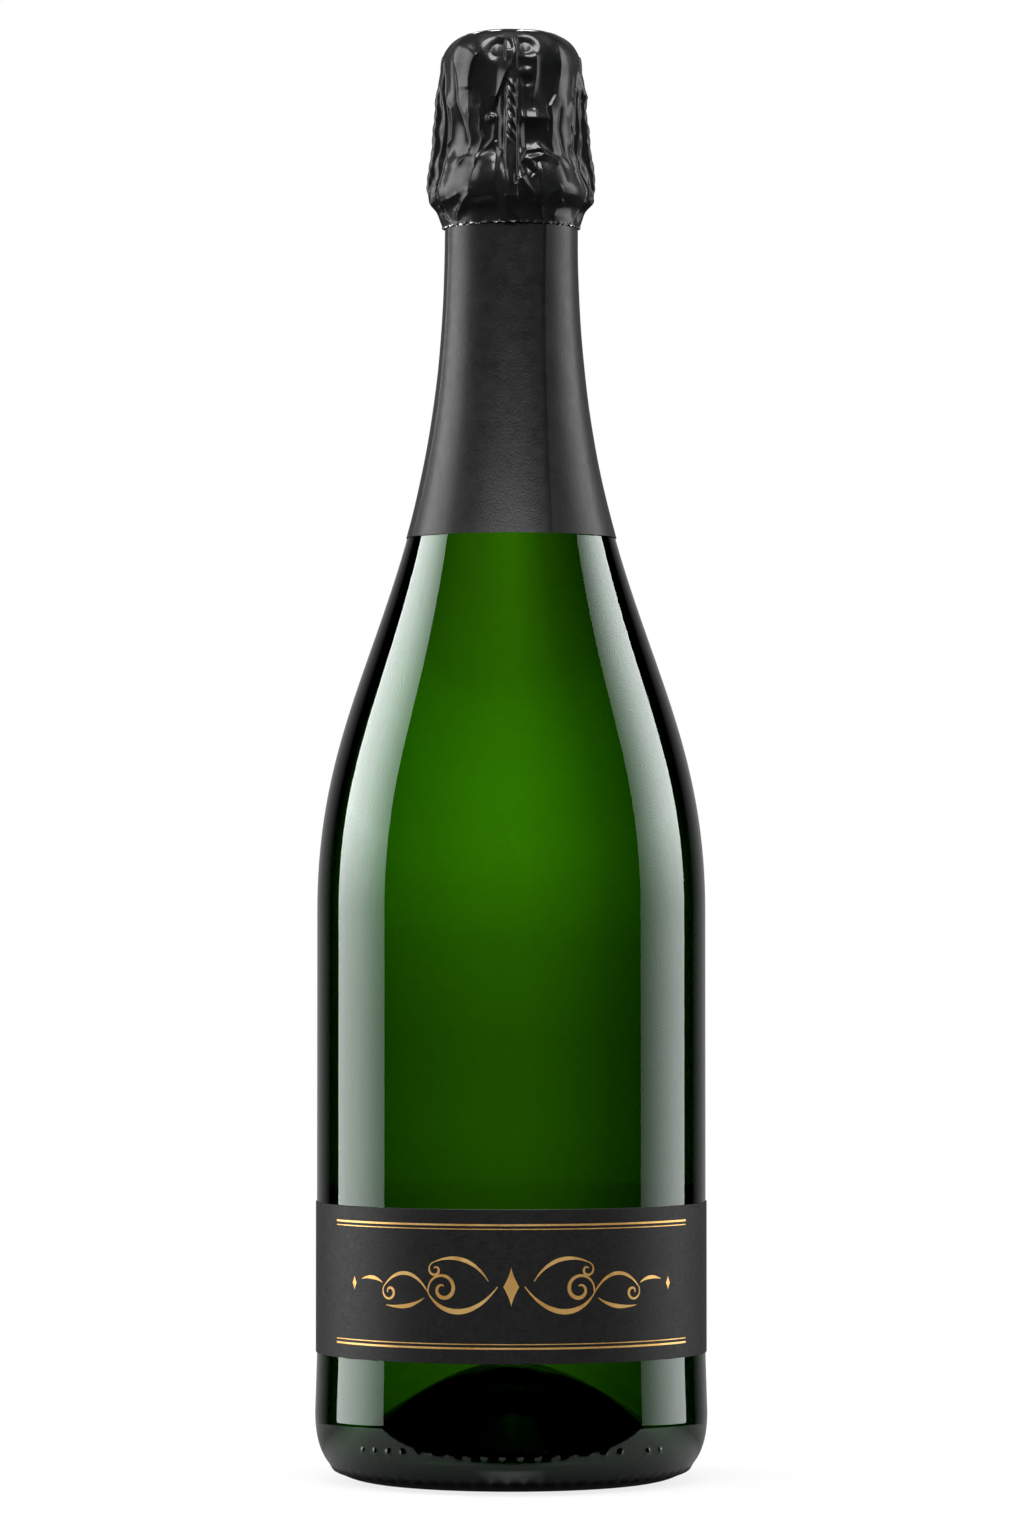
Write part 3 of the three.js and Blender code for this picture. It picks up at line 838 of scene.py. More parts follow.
# Height, radius where the foil is pressed in, radius over a leg
HOOD_ROWS = [
    (280.4, 15.0, 15.3),
    (283.3, 15.1, 16.2),
    (284.4, 15.3, 16.7),
    (285.5, 16.0, 17.9),
    (286.6, 16.8, 18.4),
    (287.8, 17.2, 18.4),
    (289.2, 17.1, 18.4),
    (291.2, 16.35, 18.2),
    (293.4, 15.55, 18.0),
    (294.6, 15.45, 17.8),
    (296.4, 14.55, 17.5),
    (298.2, 14.35, 17.3),
    (302.5, 14.45, 17.1),
    (304.5, 14.6, 16.6),
    (306.8, 14.75, 16.3),
    (309.4, 14.8, 16.4),
    (313.4, 14.95, 16.2),
    (316.7, 15.3, 15.6),
]

# Folds on the front, drawn on a sketch of the hood: across and down, 31 units to the millimetre.
# A step stands out on its line and falls off slowly to its left, a back step to its right and a ridge to both
# sides; a groove goes in. Each has its lift and its width.
SKETCH_MIDDLE = 636
SKETCH_LEVEL = 488
SKETCH_HEIGHT = 310.9
SKETCH_UNITS = 31.3
SKETCH_RADIUS = 15.9
FRONT_FOLDS = [
    ("step", 0.75, 1.6, [(580, 120), (645, 150), (662, 230), (648, 310), (600, 400), (548, 520), (512, 590),
                         (490, 690)]),
    ("ridge", 0.5, 0.7, [(490, 690), (515, 760), (505, 860), (440, 930), (385, 1010)]),
    ("groove", 0.5, 0.8, [(520, 560), (500, 640), (492, 700)]),
    ("ridge", 0.5, 0.7, [(512, 870), (545, 940), (580, 970)]),
    ("step", 0.55, 2.2, [(390, 245), (350, 330), (325, 420), (322, 510)]),
    ("groove", 0.45, 0.9, [(205, 290), (210, 400), (215, 560), (240, 650), (280, 760), (305, 860), (320, 920),
                           (270, 995)]),
    ("ridge", 0.45, 0.8, [(310, 600), (322, 680), (312, 760), (335, 850), (300, 960), (238, 1045)]),
    ("step", 0.5, 1.5, [(395, 590), (407, 700), (400, 790), (420, 850), (388, 960), (376, 1055)]),
    ("ridge", 0.5, 0.9, [(150, 500), (192, 620), (200, 700), (185, 830), (150, 900)]),
    ("back_step", 0.55, 2.2, [(985, 250), (987, 400), (970, 540), (930, 620), (936, 700), (942, 800),
                              (936, 880), (955, 980)]),
    ("ridge", 0.45, 0.9, [(1105, 330), (1100, 560), (1070, 680), (1078, 800), (1100, 890), (1130, 1000)]),
    ("groove", 0.4, 0.8, [(1010, 600), (1000, 780), (1030, 900), (1062, 1010)]),
    ("ridge", 0.4, 0.7, [(812, 235), (822, 400), (806, 500), (784, 610)]),
    ("ridge", 1.15, 1.6, [(690, 706), (760, 712), (850, 712), (925, 704)]),
    ("ridge", 0.3, 0.5, [(812, 640), (812, 700), (808, 770)]),
    ("ridge", 0.8, 1.0, [(692, 975), (740, 940), (850, 925), (870, 962), (815, 985), (765, 1000), (800, 1070),
                         (838, 1040)]),
    ("ridge", 0.55, 0.8, [(690, 1120), (740, 1190), (815, 1282)]),
    ("groove", 0.5, 1.0, [(705, 1020), (760, 1075), (800, 1110)]),
    ("back_step", 0.6, 1.8, [(838, 1020), (836, 1120), (834, 1220), (842, 1300), (858, 1390), (874, 1465)]),
    ("ridge", 0.5, 0.8, [(815, 880), (850, 930), (920, 980), (975, 1035)]),
    ("ridge", 0.45, 0.9, [(238, 1450), (246, 1360), (300, 1300), (400, 1265), (560, 1242)]),
    ("ridge", 0.4, 0.9, [(575, 1285), (640, 1360), (690, 1415), (730, 1460)]),
    ("ridge", 0.5, 0.9, [(365, 1180), (366, 1245), (300, 1300), (250, 1370)]),
    ("step", 0.5, 1.4, [(100, 1275), (150, 1350), (190, 1420), (212, 1470)]),
    ("ridge", 0.45, 0.8, [(840, 1300), (900, 1240), (962, 1188)]),
    ("ridge", 0.5, 0.9, [(990, 1275), (950, 1350), (925, 1410)]),
    ("step", 0.45, 1.4, [(1180, 1240), (1120, 1340), (1092, 1420), (1088, 1480)]),
    ("ridge", 0.35, 0.6, [(300, 1230), (225, 1262), (150, 1280)]),
    ("groove", 0.35, 0.8, [(140, 1140), (150, 1190), (140, 1230)]),
    ("ridge", 0.3, 0.6, [(470, 700), (520, 705)]),
]
# Dents on the front: centre, half width, half height and how deep; a negative depth stands out.
FRONT_DENTS = [
    (540, 220, 88, 90, 1.4),
    (752, 195, 80, 76, 1.3),
    (740, 330, 55, 40, 0.4),
    (740, 392, 50, 32, -0.35),
    (745, 455, 60, 34, 0.4),
    (440, 440, 110, 190, 0.5),
    (905, 430, 85, 190, 0.5),
    (480, 712, 45, 34, -0.4),
    (480, 1075, 95, 115, -0.95),
    (935, 1090, 90, 105, -0.75),
    (790, 1180, 50, 60, 0.45),
    (490, 1150, 60, 50, 0.15),
    (480, 1370, 200, 60, 0.3),
]


def sketch_place(across, down):
    """A place on the sketch as a distance round the hood from its front and a height."""
    x = (across - SKETCH_MIDDLE) / SKETCH_UNITS
    height = SKETCH_HEIGHT - (down - SKETCH_LEVEL) / SKETCH_UNITS
    return UNROLL_RADIUS * math.asin(max(-0.985, min(0.985, x / SKETCH_RADIUS))), height


def distance_to_line(u, v, line):
    """Distance from a line of points, the side it is on, and how far along the line it is, from 0 to 1."""
    nearest = np.full(u.shape, 1e9)
    side = np.zeros(u.shape)
    place = np.zeros(u.shape)
    line = np.asarray(line, float)
    lengths = np.hypot(*np.diff(line, axis=0).T)
    walked = np.concatenate([[0], np.cumsum(lengths)])
    for i, length in enumerate(lengths):
        ax, ay = line[i]
        dx, dy = (line[i + 1] - line[i]) / length
        t = np.clip((u - ax) * dx + (v - ay) * dy, 0, length)
        gap = np.hypot(u - ax - t * dx, v - ay - t * dy)
        closer = gap < nearest
        nearest = np.where(closer, gap, nearest)
        side = np.where(closer, np.sign(dx * (v - ay) - dy * (u - ax)), side)
        place = np.where(closer, (walked[i] + t) / walked[-1], place)
    return nearest, side, place


def fold(u, v, kind, lift, width, line):
    """How far a fold moves the foil out at each point."""
    gap, side, place = distance_to_line(u, v, line)
    taper = 0.25 + 0.75 * smooth(0, 0.12, place) * smooth(0, 0.12, 1 - place)
    if kind in ("ridge", "groove"):
        shape = np.exp(-((gap / width) ** 1.3))
        return lift * taper * (shape if kind == "ridge" else -shape)
    slow = side < 0 if kind == "step" else side > 0
    return lift * taper * np.where(slow, np.exp(-gap / width), np.exp(-((gap / 0.28) ** 2)))


def leg_share(azimuth, centre, half_angle):
    away = np.abs(turn_from(azimuth, centre))
    return np.where(away < half_angle, np.cos(math.pi / 2 * np.minimum(away / half_angle, 1)) ** 1.6, 0)


def hood_side(height):
    """Radius where the foil is pressed in and over a leg, softened along the height."""
    rows = np.array(HOOD_ROWS)
    fine = np.linspace(rows[0, 0], rows[-1, 0], 400)
    columns = []
    for column in (1, 2):
        line = np.interp(fine, rows[:, 0], rows[:, column])
        padded = np.pad(line, SOFT_SPAN // 2, mode="edge")
        columns.append(np.interp(height, fine, np.convolve(padded, np.ones(SOFT_SPAN) / SOFT_SPAN, "valid")))
    return columns[0][:, None], columns[1][:, None]


def hood_grid():
    """Azimuth, radius, height, tilt and unrolled place of each point of the hood before it is crumpled."""
    azimuth = np.linspace(0, FULL_TURN, HOOD_COLUMNS, endpoint=False)[None, :]
    raised = leg_share(azimuth, LOOP_AZIMUTH, LOOP_HALF_ANGLE)
    for leg in LEGS:
        raised = np.maximum(raised, leg_share(azimuth, leg, LEG_HALF_ANGLE))
    side = np.linspace(TEAR_HEIGHT, CORNER_HEIGHT, SIDE_ROWS)
    pressed, ridge = hood_side(side)
    side = side[:, None]
    side_radius = pressed + (ridge - pressed) * raised
    bend = np.radians(np.linspace(0, 90, CORNER_ROWS + 1))[1:, None]
    corner_radius = CORNER_RADIUS + (side_radius[-1:] - CORNER_RADIUS) * np.cos(bend)
    corner_height = CORNER_HEIGHT + HOOD_ROUND * np.sin(bend) - HOOD_DOME * np.sin(bend) ** 2
    reach = np.linspace(1, 0, TOP_ROWS + 1)[1:-1, None] * CORNER_RADIUS
    top_height = HOOD_TOP - HOOD_DOME * (reach / CORNER_RADIUS) ** 2
    wide = np.ones_like(azimuth)
    radius = np.vstack([side_radius, corner_radius, reach * wide])
    height = np.vstack([side, corner_height, top_height]) * wide
    tilt = np.vstack([0 * side, bend, np.full_like(reach, math.pi / 2)]) * wide
    over_top = CORNER_HEIGHT + HOOD_ROUND * math.pi / 2 + CORNER_RADIUS - reach
    v = np.vstack([side, CORNER_HEIGHT + HOOD_ROUND * bend, over_top]) * wide
    azimuth = azimuth * np.ones_like(radius)
    return azimuth, radius, height, tilt, turn_from(azimuth, FRONT) * UNROLL_RADIUS, v


def seeded_folds(random):
    """Long pleats and a few creases for the sides and the back, which the front view doesn't show."""
    folds = []
    for k in range(PLEATS):
        u = FRONT_REACH + (UNROLLED - 2 * FRONT_REACH) * (k + random.uniform(0.2, 0.8)) / PLEATS
        low = random.uniform(280.5, 288.0)
        high = random.uniform(304.0, 319.0)
        height = np.linspace(low, high, 7)
        sway = 0.55 * np.sin(0.42 * height + 0.3 * k) + random.normal(0, 0.16, 7)
        kind = random.choice(["ridge", "step", "back_step", "groove"])
        folds.append((kind, random.uniform(0.3, 0.6), random.uniform(0.6, 1.3), list(zip(u + sway, height))))
    for _ in range(CREASES):
        u = random.uniform(FRONT_REACH, UNROLLED - FRONT_REACH)
        v = random.uniform(283, 318)
        lean = random.uniform(0.3, 2.8)
        reach = random.uniform(2, 5)
        line = [(u, v), (u + reach * math.cos(lean), v + reach * math.sin(lean))]
        folds.append(("ridge", random.uniform(0.2, 0.4), random.uniform(0.4, 0.7), line))
    return folds


def hood_relief(azimuth, u, v):
    """Folds, dents, grooves beside the legs and a slight waviness."""
    random = np.random.default_rng(HOOD_SEED)
    relief = np.zeros(u.shape)
    for kind, lift, width, line in FRONT_FOLDS:
        relief += fold(u, v, kind, lift, width, [sketch_place(*p) for p in line])
    for across, down, half_width, half_height, depth in FRONT_DENTS:
        centre_u, centre_v = sketch_place(across, down)
        reach_u = (u - centre_u) / (half_width / SKETCH_UNITS)
        reach_v = (v - centre_v) / (half_height / SKETCH_UNITS)
        relief -= depth * np.exp(-((reach_u**2 + reach_v**2) ** 1.6))
    for kind, lift, width, line in seeded_folds(random):
        middle = np.mean([p[0] for p in line])
        near = (u - middle + UNROLLED / 2) % UNROLLED - UNROLLED / 2 + middle
        relief += fold(near, v, kind, lift, width, line)
    for leg, centre in enumerate(LEGS):
        away = turn_from(azimuth, centre) * UNROLL_RADIUS
        beside_at = 0.75 + 0.8 * smooth(286, 295, v)
        beside = np.exp(-(((np.abs(away) - beside_at) / 0.5) ** 2))
        beside = beside * smooth(286, 291, v) * smooth(313, 309, v)
        relief -= ROPE_GROOVE * beside * (0.65 + 0.35 * np.sin(0.9 * v + np.sign(away) + leg))
    for _ in range(WAVES):
        turns = random.integers(3, 16)
        phase = random.uniform(0, FULL_TURN, 2)
        tall = random.uniform(0.15, 0.7)
        relief += WAVE_LIFT * np.sin(turns * azimuth + phase[0] + 0.8 * np.sin(tall * v + phase[1]))
    return relief


def hood_twist(azimuth, v):
    """How far the twisted legs push the foil out: a round rope with its strands."""
    half_width = ROPE_HALF_WIDTH * (0.35 + 0.65 * smooth(286, 295, v))
    ends = smooth(287, 290, v) * smooth(313, 310, v)
    lift = np.zeros(v.shape)
    for leg, twist_lift, foot in zip(LEGS, TWIST_LIFTS, TWIST_FEET):
        away = turn_from(azimuth, leg) * UNROLL_RADIUS
        rope = np.sqrt(np.maximum(1 - (away / half_width) ** 2, 0))
        strand = 0.5 + 0.5 * np.sin(FULL_TURN * (v + TWIST_SLANT * away) / TWIST_PITCH)
        lift += ends * rope * (ROPE_LIFT + twist_lift * strand * smooth(foot, foot + 3, v))
    return lift


def leg_line():
    """Centre line of a leg as evenly spaced (radius, height) points."""
    crown_degrees = math.degrees(math.acos((CROWN_RADIUS - CORNER_RADIUS) / WIRE_ROUND))
    points = outline(
        arc(CORNER_RADIUS, CORNER_HEIGHT, WIRE_ROUND, crown_degrees - 12, 10, 4),
        (LEG_AT_HEAD, CORNER_HEIGHT - HEAD_UNDER_ROUND),
        (LEG_AT_HEAD, HEAD_BOTTOM + HEAD_UNDER_ROUND),
        ((LEG_AT_HEAD + EYELET_AXIS) / 2, MOUTH - LIP_ROUND),
        (EYELET_AXIS, RING_TOP - RING_ROUND),
        (EYELET_AXIS, BELT_HEIGHT + 2 * EYELET_RADIUS),
        (EYELET_AXIS, BELT_HEIGHT),
    )
    line = catmull(points, 60)
    walked = np.concatenate([[0], np.cumsum(np.hypot(*np.diff(line, axis=0).T))])
    even = np.linspace(0, walked[-1], LEG_STEPS + 1)
    return np.stack([np.interp(even, walked, line[:, i]) for i in range(2)], 1)


def belt_radius(azimuth):
    """The belt lies in the groove and bows out to the eyelet on each leg."""
    at_leg = ((1 + np.cos(len(LEGS) * azimuth)) / 2) ** 2
    return BELT_NEAR + (EYELET_AXIS - BELT_NEAR) * at_leg


def raise_to(reach, share):
    """A reach from the axis that goes down to the cork's head where its share is 0."""
    return HEAD_RADIUS + (reach - HEAD_RADIUS) * share


def wire_reach(azimuth, height):
    """How far from the axis the cage reaches under the foil, with soft shoulders beside each wire."""
    from_belt = np.abs(height - BELT_HEIGHT)
    reach = raise_to(belt_radius(azimuth) + WIRE_RADIUS, smooth(1.7, 0.7, from_belt))
    place = leg_line()[::-1]
    leg_end = BELT_HEIGHT - EYELET_RADIUS - WIRE_RADIUS
    leg = np.interp(height, place[:, 1], place[:, 0]) + STRAND_OFFSET + WIRE_RADIUS
    leg = raise_to(leg, smooth(leg_end - 1.6, leg_end, height))
    eyelet = EYELET_AXIS + EYELET_RADIUS + WIRE_RADIUS
    leg = np.maximum(leg, raise_to(eyelet, smooth(2.4, 1.4, from_belt)))
    for centre in LEGS:
        away = np.abs(turn_from(azimuth, centre)) * UNROLL_RADIUS
        reach = np.maximum(reach, raise_to(leg, smooth(2.2, 1.0, away)))
    away = np.abs(turn_from(azimuth, LOOP_AZIMUTH)) * UNROLL_RADIUS
    tail = TAIL_RADIUS + STRAND_OFFSET + WIRE_RADIUS
    tail = raise_to(tail, smooth(303.5, 301.5, height) * smooth(285.5, 287.0, height))
    eye = raise_to(LEG_AT_HEAD + WIRE_RADIUS, smooth(299, 301, height) * smooth(315.5, 314.0, height))
    reach = np.maximum(reach, raise_to(tail, smooth(2.4, 1.0, away)))
    return np.maximum(reach, raise_to(eye, smooth(5.0, 4.0, away)))


def make_hood():
    azimuth, radius, height, tilt, u, v = hood_grid()
    top_fade = 1 - 0.97 * smooth(322, 331, v)
    hem_fade = 0.25 + 0.75 * smooth(280.4, 282.5, v)
    relief = hood_relief(azimuth, u, v) * top_fade * hem_fade
    beside_leg = np.abs((azimuth + math.pi / 4) % (math.pi / 2) - math.pi / 4) * radius
    room = CORNER_ROOM + (LEG_ROOM - CORNER_ROOM) * smooth(2.0, 1.0, beside_leg)
    relief = np.where(tilt > 0, np.maximum(relief, -room), relief)
    hem = np.exp(-(((v - TEAR_HEIGHT) / 0.45) ** 2))
    ragged = 0.1 * np.sin(31 * azimuth) + 0.08 * np.sin(57 * azimuth + 1.3)
    relief = relief + hem * (0.12 + ragged)
    height = height + hem * 0.1 * np.sin(43 * azimuth + 0.7)
    reach = np.maximum(radius + relief * np.cos(tilt), 0.05)
    over_wire = wire_reach(azimuth, height) + FOIL_THICKNESS + 0.05
    reach = np.where(tilt < 0.3, np.maximum(reach, over_wire), reach) + hood_twist(azimuth, v)
    level = np.minimum(height + relief * np.sin(tilt), HOOD_TOP)
    depth = FOIL_THICKNESS - 0.02
    inside = np.maximum(reach - depth * np.cos(tilt), 0.02)
    outer = around(azimuth, reach, 0.0, level).reshape(-1, 3)
    inner = around(azimuth, inside, 0.0, level - depth * np.sin(tilt)).reshape(-1, 3)
    apex = np.array([[0, 0, HOOD_TOP], [0, 0, HOOD_TOP - FOIL_THICKNESS]])
    count = len(outer)
    last = count - HOOD_COLUMNS
    outer_faces = ring_faces(len(radius), HOOD_COLUMNS)
    inner_faces = [[i + count for i in face[::-1]] for face in outer_faces]
    hem_faces = []
    tops = []
    for j in range(HOOD_COLUMNS):
        k = (j + 1) % HOOD_COLUMNS
        hem_faces.append([k, j, count + j, count + k])
        tops.append([2 * count, last + j, last + k])
        tops.append([2 * count + 1, count + last + k, count + last + j])
    faces = outer_faces + inner_faces + hem_faces + tops
    index = [0] * len(outer_faces) + [1] * len(inner_faces) + [0] * len(hem_faces) + [0, 1] * HOOD_COLUMNS
    points = np.vstack([outer, inner, apex])
    return make_object("hood_foil", points, faces, [HOOD_FOIL, FOIL_INSIDE], 75, index)


LEG_STEPS = 90
attach(make_hood(), "hood", "foil_hood")

# Cork: mushroom body and two discs

CORK_SEGMENTS = 128
CORK_ROUGHNESS = 0.035


def roughened(obj, lift):
    """Moves a piece's points in and out a little, so that it isn't turned smooth."""
    for vertex in obj.data.vertices:
        x, y, z = (c / MM for c in vertex.co)
        wave = math.sin(2.1 * x + 1.3 * y) * math.sin(1.7 * z + 0.6 * x) + 0.5 * math.sin(4.3 * y - 3.1 * z)
        vertex.co += vertex.normal * (lift * MM * wave)
    return obj


def make_cork():
    low = DISC_TOP + DISC_GLUE
    points = outline(
        np.linspace((0, low), (CORK_RADIUS - 0.15, low), 6),
        (CORK_RADIUS, low + 0.2),
        np.linspace((CORK_RADIUS, low + 0.6), (CORK_RADIUS, HEAD_BOTTOM - 0.3), 12),
        (CORK_RADIUS, HEAD_BOTTOM),
        arc(HEAD_RADIUS - HEAD_UNDER_ROUND, HEAD_BOTTOM + HEAD_UNDER_ROUND, HEAD_UNDER_ROUND, -90, 0, 10),
        np.linspace((HEAD_RADIUS, HEAD_BOTTOM + 4.6), (HEAD_RADIUS, CORNER_HEIGHT - 0.6), 8),
        arc(CORNER_RADIUS, CORNER_HEIGHT, HEAD_ROUND, 0, 90, 16),
        np.linspace((CORNER_RADIUS - 1, HEAD_TOP), (0, HEAD_TOP), 7),
    )
    return roughened(lathe("cork", points, CORK_SEGMENTS, AGGLOMERATE), CORK_ROUGHNESS)


def make_disc(name, low):
    high = low + DISC_THICKNESS - DISC_GLUE
    points = outline(
        np.linspace((0, low), (CORK_RADIUS - 0.2, low), 6),
        (CORK_RADIUS, low + 0.15),
        np.linspace((CORK_RADIUS, low + 0.5), (CORK_RADIUS, high - 0.5), 5),
        (CORK_RADIUS, high - 0.15),
        np.linspace((CORK_RADIUS - 0.2, high), (0, high), 6),
    )
    return lathe(name, points, CORK_SEGMENTS, NATURAL_CORK, 30)


attach(make_cork(), "cork", "cork_body")
attach(make_disc("disc_upper", DISC_TOP - DISC_THICKNESS), "cork", "cork_disc_upper")
attach(make_disc("disc_lower", DISC_TOP - 2 * DISC_THICKNESS), "cork", "cork_disc_lower")

# Cage: cap with a pressed ring, frame, belt and loop

WIRE_SIDES = 10
CAP_SEGMENTS = 160
CAP_RING_RADIUS = 5.4
CAP_RING_HALF_WIDTH = 0.55
CAP_RING_LIFT = 0.22
CAP_DISH_DEPTH = 0.1


def make_cap():
    """A shallow pressed cap; a ring is raised in its top and a shallow dish lies inside the ring."""
    low = arc(CORNER_RADIUS, CORNER_HEIGHT, HEAD_ROUND + CAP_GAP, CAP_RIM_DEGREES, 90, 16)[::-1]
    high = arc(CORNER_RADIUS, CORNER_HEIGHT, CAP_OUTER_ROUND, CAP_RIM_DEGREES, 90, 16)
    reach = np.linspace(CORNER_RADIUS - 0.3, 0, 26)
    ring = CAP_RING_LIFT * np.exp(-(((reach - CAP_RING_RADIUS) / CAP_RING_HALF_WIDTH) ** 2))
    dish = CAP_DISH_DEPTH * (1 - smooth(3.6, 4.8, reach))
    top = np.stack([reach, CORNER_HEIGHT + CAP_OUTER_ROUND + (ring - dish)], 1)
    points = outline((0, HEAD_TOP + CAP_GAP), low, low[-1] + (0.01, 0), high, top)
    return lathe("cap", points, CAP_SEGMENTS, TINPLATE, 45)


def make_frame():
    place = leg_line()
    along = directions(place)
    share = np.linspace(0, 1, LEG_STEPS + 1)
    angle = FULL_TURN * LEG_TURNS * np.clip((share - TWIST_START) / (TWIST_END - TWIST_START), 0, 1)
    reach = STRAND_OFFSET + (EYELET_RADIUS - STRAND_OFFSET) * smooth(EYELET_START, EYELET_END, share)
    sideways = reach * np.cos(angle)
    outward = reach * np.sin(angle)
    half = np.linspace(0, math.pi, 16)[1:-1]
    eyelet_radius = EYELET_AXIS + EYELET_RADIUS * np.cos(half)
    eyelet_height = BELT_HEIGHT - EYELET_RADIUS * np.sin(half)
    crown_height = CORNER_HEIGHT + math.sqrt(WIRE_ROUND**2 - (CROWN_RADIUS - CORNER_RADIUS) ** 2)
    bend = 2 * (STRAND_OFFSET + WIRE_RADIUS) / CROWN_RADIUS
    turned = np.linspace(bend, math.pi / 2 - bend, 24)
    path = []
    for leg in LEGS:
        strands = []
        for side in (-1, 1):
            radius = place[:, 0] - side * outward * along[:, 1]
            strands.append(around(leg, radius, side * sideways, place[:, 1] + side * outward * along[:, 0]))
        eyelet = around(leg, eyelet_radius, 0.0, eyelet_height)
        crown = around(leg + turned, CROWN_RADIUS, 0.0, crown_height)
        path += [strands[0], eyelet, strands[1][::-1], crown]
    return tube("frame_wire", np.vstack(path), True)


def make_belt():
    azimuth = np.linspace(0, FULL_TURN, 240, endpoint=False)
    return tube("belt_wire", around(azimuth, belt_radius(azimuth), 0.0, BELT_HEIGHT), True)


def make_loop():
    tail_start = RING_BOTTOM + WIRE_RADIUS
    tail_end = tail_start + TAIL_LENGTH
    share = np.linspace(0, 1, 60)
    angle = FULL_TURN * TAIL_TURNS * share
    radius = TAIL_RADIUS + (LOOP_EYE_RADIUS - TAIL_RADIUS) * smooth(0.6, 1, share)
    height = tail_start + (tail_end - tail_start) * share
    feet = np.array([LOOP_FOOT_RADIUS, TAIL_RADIUS - WIRE_RADIUS])
    feet_height = np.array([BELT_HEIGHT, BELT_HEIGHT + WIRE_RADIUS / 2])
    tails = []
    for side in (1, -1):
        strand = side * STRAND_OFFSET
        foot = around(LOOP_AZIMUTH, feet, strand, feet_height)
        tail = around(LOOP_AZIMUTH, radius + strand * np.sin(angle), strand * np.cos(angle), height)
        tails.append(np.vstack([foot, tail]))
    turned = np.linspace(0, FULL_TURN, 60)[2:-2]
    eye_side = -LOOP_EYE_HALF_WIDTH * np.sin(turned) * np.sin(turned / 2)
    eye_height = tail_end + LOOP_EYE_LENGTH / 2 * (1 - np.cos(turned))
    eye = around(LOOP_AZIMUTH, LOOP_EYE_RADIUS, eye_side, eye_height)
    return tube("loop_wire", catmull(np.vstack([tails[0], eye, tails[1][::-1]]), 2), False)


attach(make_cap(), "cage", "cage_cap")
attach(make_frame(), "cage", "cage_frame")
attach(make_belt(), "cage", "cage_belt")
attach(make_loop(), "loop", "cage_loop")

# The set: a floor, a glowing disc round the foot that paints the floor's reflection on the glass, and a
# glowing card that paints a pool of light seen through the glass

SET_SIDES = 96


def make_set_piece(name, points_m, material, *hidden_from):
    """A flat piece of the set, hidden from some kinds of rays."""
    mesh = bpy.data.meshes.new(name)
    mesh.from_pydata(points_m, [], [list(range(len(points_m)))])
    mesh.materials.append(material)
    obj = add_object(name, mesh)
    for rays in hidden_from:
        setattr(obj, "visible_" + rays, False)


def disc_points(radius_m, height_m):
    angle = np.linspace(0, FULL_TURN, SET_SIDES, endpoint=False)
    return around(angle, radius_m, 0.0, height_m).tolist()


# Floor: pale, and fading out into the white background

FLOOR_RADIUS_M = 0.7
FLOOR_LEVEL_M = -0.0001
FLOOR_WHITE = 0.8


def floor_material():
    material, tree, shader = new_material("floor")
    feed(tree, shader, {"Base Color": (0.8, 0.8, 0.8), "Roughness": 0.9, "Specular IOR Level": 0.0})
    seen = spread(tree, add_node(tree, "LightPath").outputs["Is Camera Ray"], 0.0, 1.0, 0.0, FLOOR_WHITE)
    lit = mixed_shader(tree, seen, shader.outputs["BSDF"], emission(tree, 1.0))
    faded = spread(tree, from_axis(tree, object_place(tree)), 0.08, 0.5, 0.0, 1.0, "SMOOTHSTEP")
    show(tree, Surface=mixed_shader(tree, faded, lit, see_through(tree)))
    return material


floor_points = disc_points(FLOOR_RADIUS_M, FLOOR_LEVEL_M)
make_set_piece("floor", floor_points, floor_material(), "glossy", "transmission")

# A glowing disc round the foot, no lamp: it shows only as a painted reflection of a lit floor low on the
# glass, with a painted shadow near the foot and a painted patch of light in front

GLOW_RADIUS_M = 0.14
GLOW_LEVEL_M = -0.00005
GLOW_FRONT_M = -0.0485
GLOW_PATCH_M = 0.016
# Painted light by the distance from the axis; its dimming near the foot is a painted shadow
GLOW_AROUND = [
    (0.038, 0.02),
    (0.041, 0.2),
    (0.045, 0.36),
    (0.05, 0.5),
    (0.058, 0.62),
    (0.095, 0.8),
    (0.14, 1.0),
]


def glow_material():
    material, tree, _ = new_material("painted_floor_reflection")
    place = object_place(tree)
    x, y, _ = axes(tree, place)
    # A painted patch of light on the floor just in front of the foot, seen only in reflection
    patch = spread(tree, combine(tree, "ABSOLUTE", x), 0.0, GLOW_PATCH_M, 0.95, 0.0, "SMOOTHSTEP")
    in_front = spread(tree, y, -0.0385, -0.0425, 0.0, 1.0)
    in_front = product(tree, in_front, spread(tree, y, -0.0452, -0.0442, 0.0, 1.0))
    level = profile(tree, from_axis(tree, place), GLOW_AROUND)
    level = combine(tree, "MAXIMUM", level, product(tree, patch, in_front))
    # The painted light ends just in front of the foot and dims towards the back
    lit = spread(tree, y, GLOW_FRONT_M - 0.001, GLOW_FRONT_M + 0.001, 0.0, 1.0)
    lit = product(tree, lit, spread(tree, y, -0.012, 0.03, 1.0, 0.3))
    through = add_node(tree, "LightPath").outputs["Is Transmission Ray"]
    glow = emission(tree, product(tree, level, lit))
    show(tree, Surface=mixed_shader(tree, through, glow, see_through(tree)))
    return material


glow_points = disc_points(GLOW_RADIUS_M, GLOW_LEVEL_M)
make_set_piece("painted_floor_reflection", glow_points, glow_material(), "camera", "diffuse", "shadow")

# A glowing card behind the bottle, no lamp: it shows only through the glass, as a painted pool of light

CARD_DISTANCE_M = 0.13
CARD_HALF_WIDTH_M = 0.12
CARD_FOOT_M = 0.001
CARD_HEIGHT_M = 0.26
CARD_STRENGTH = 1.6
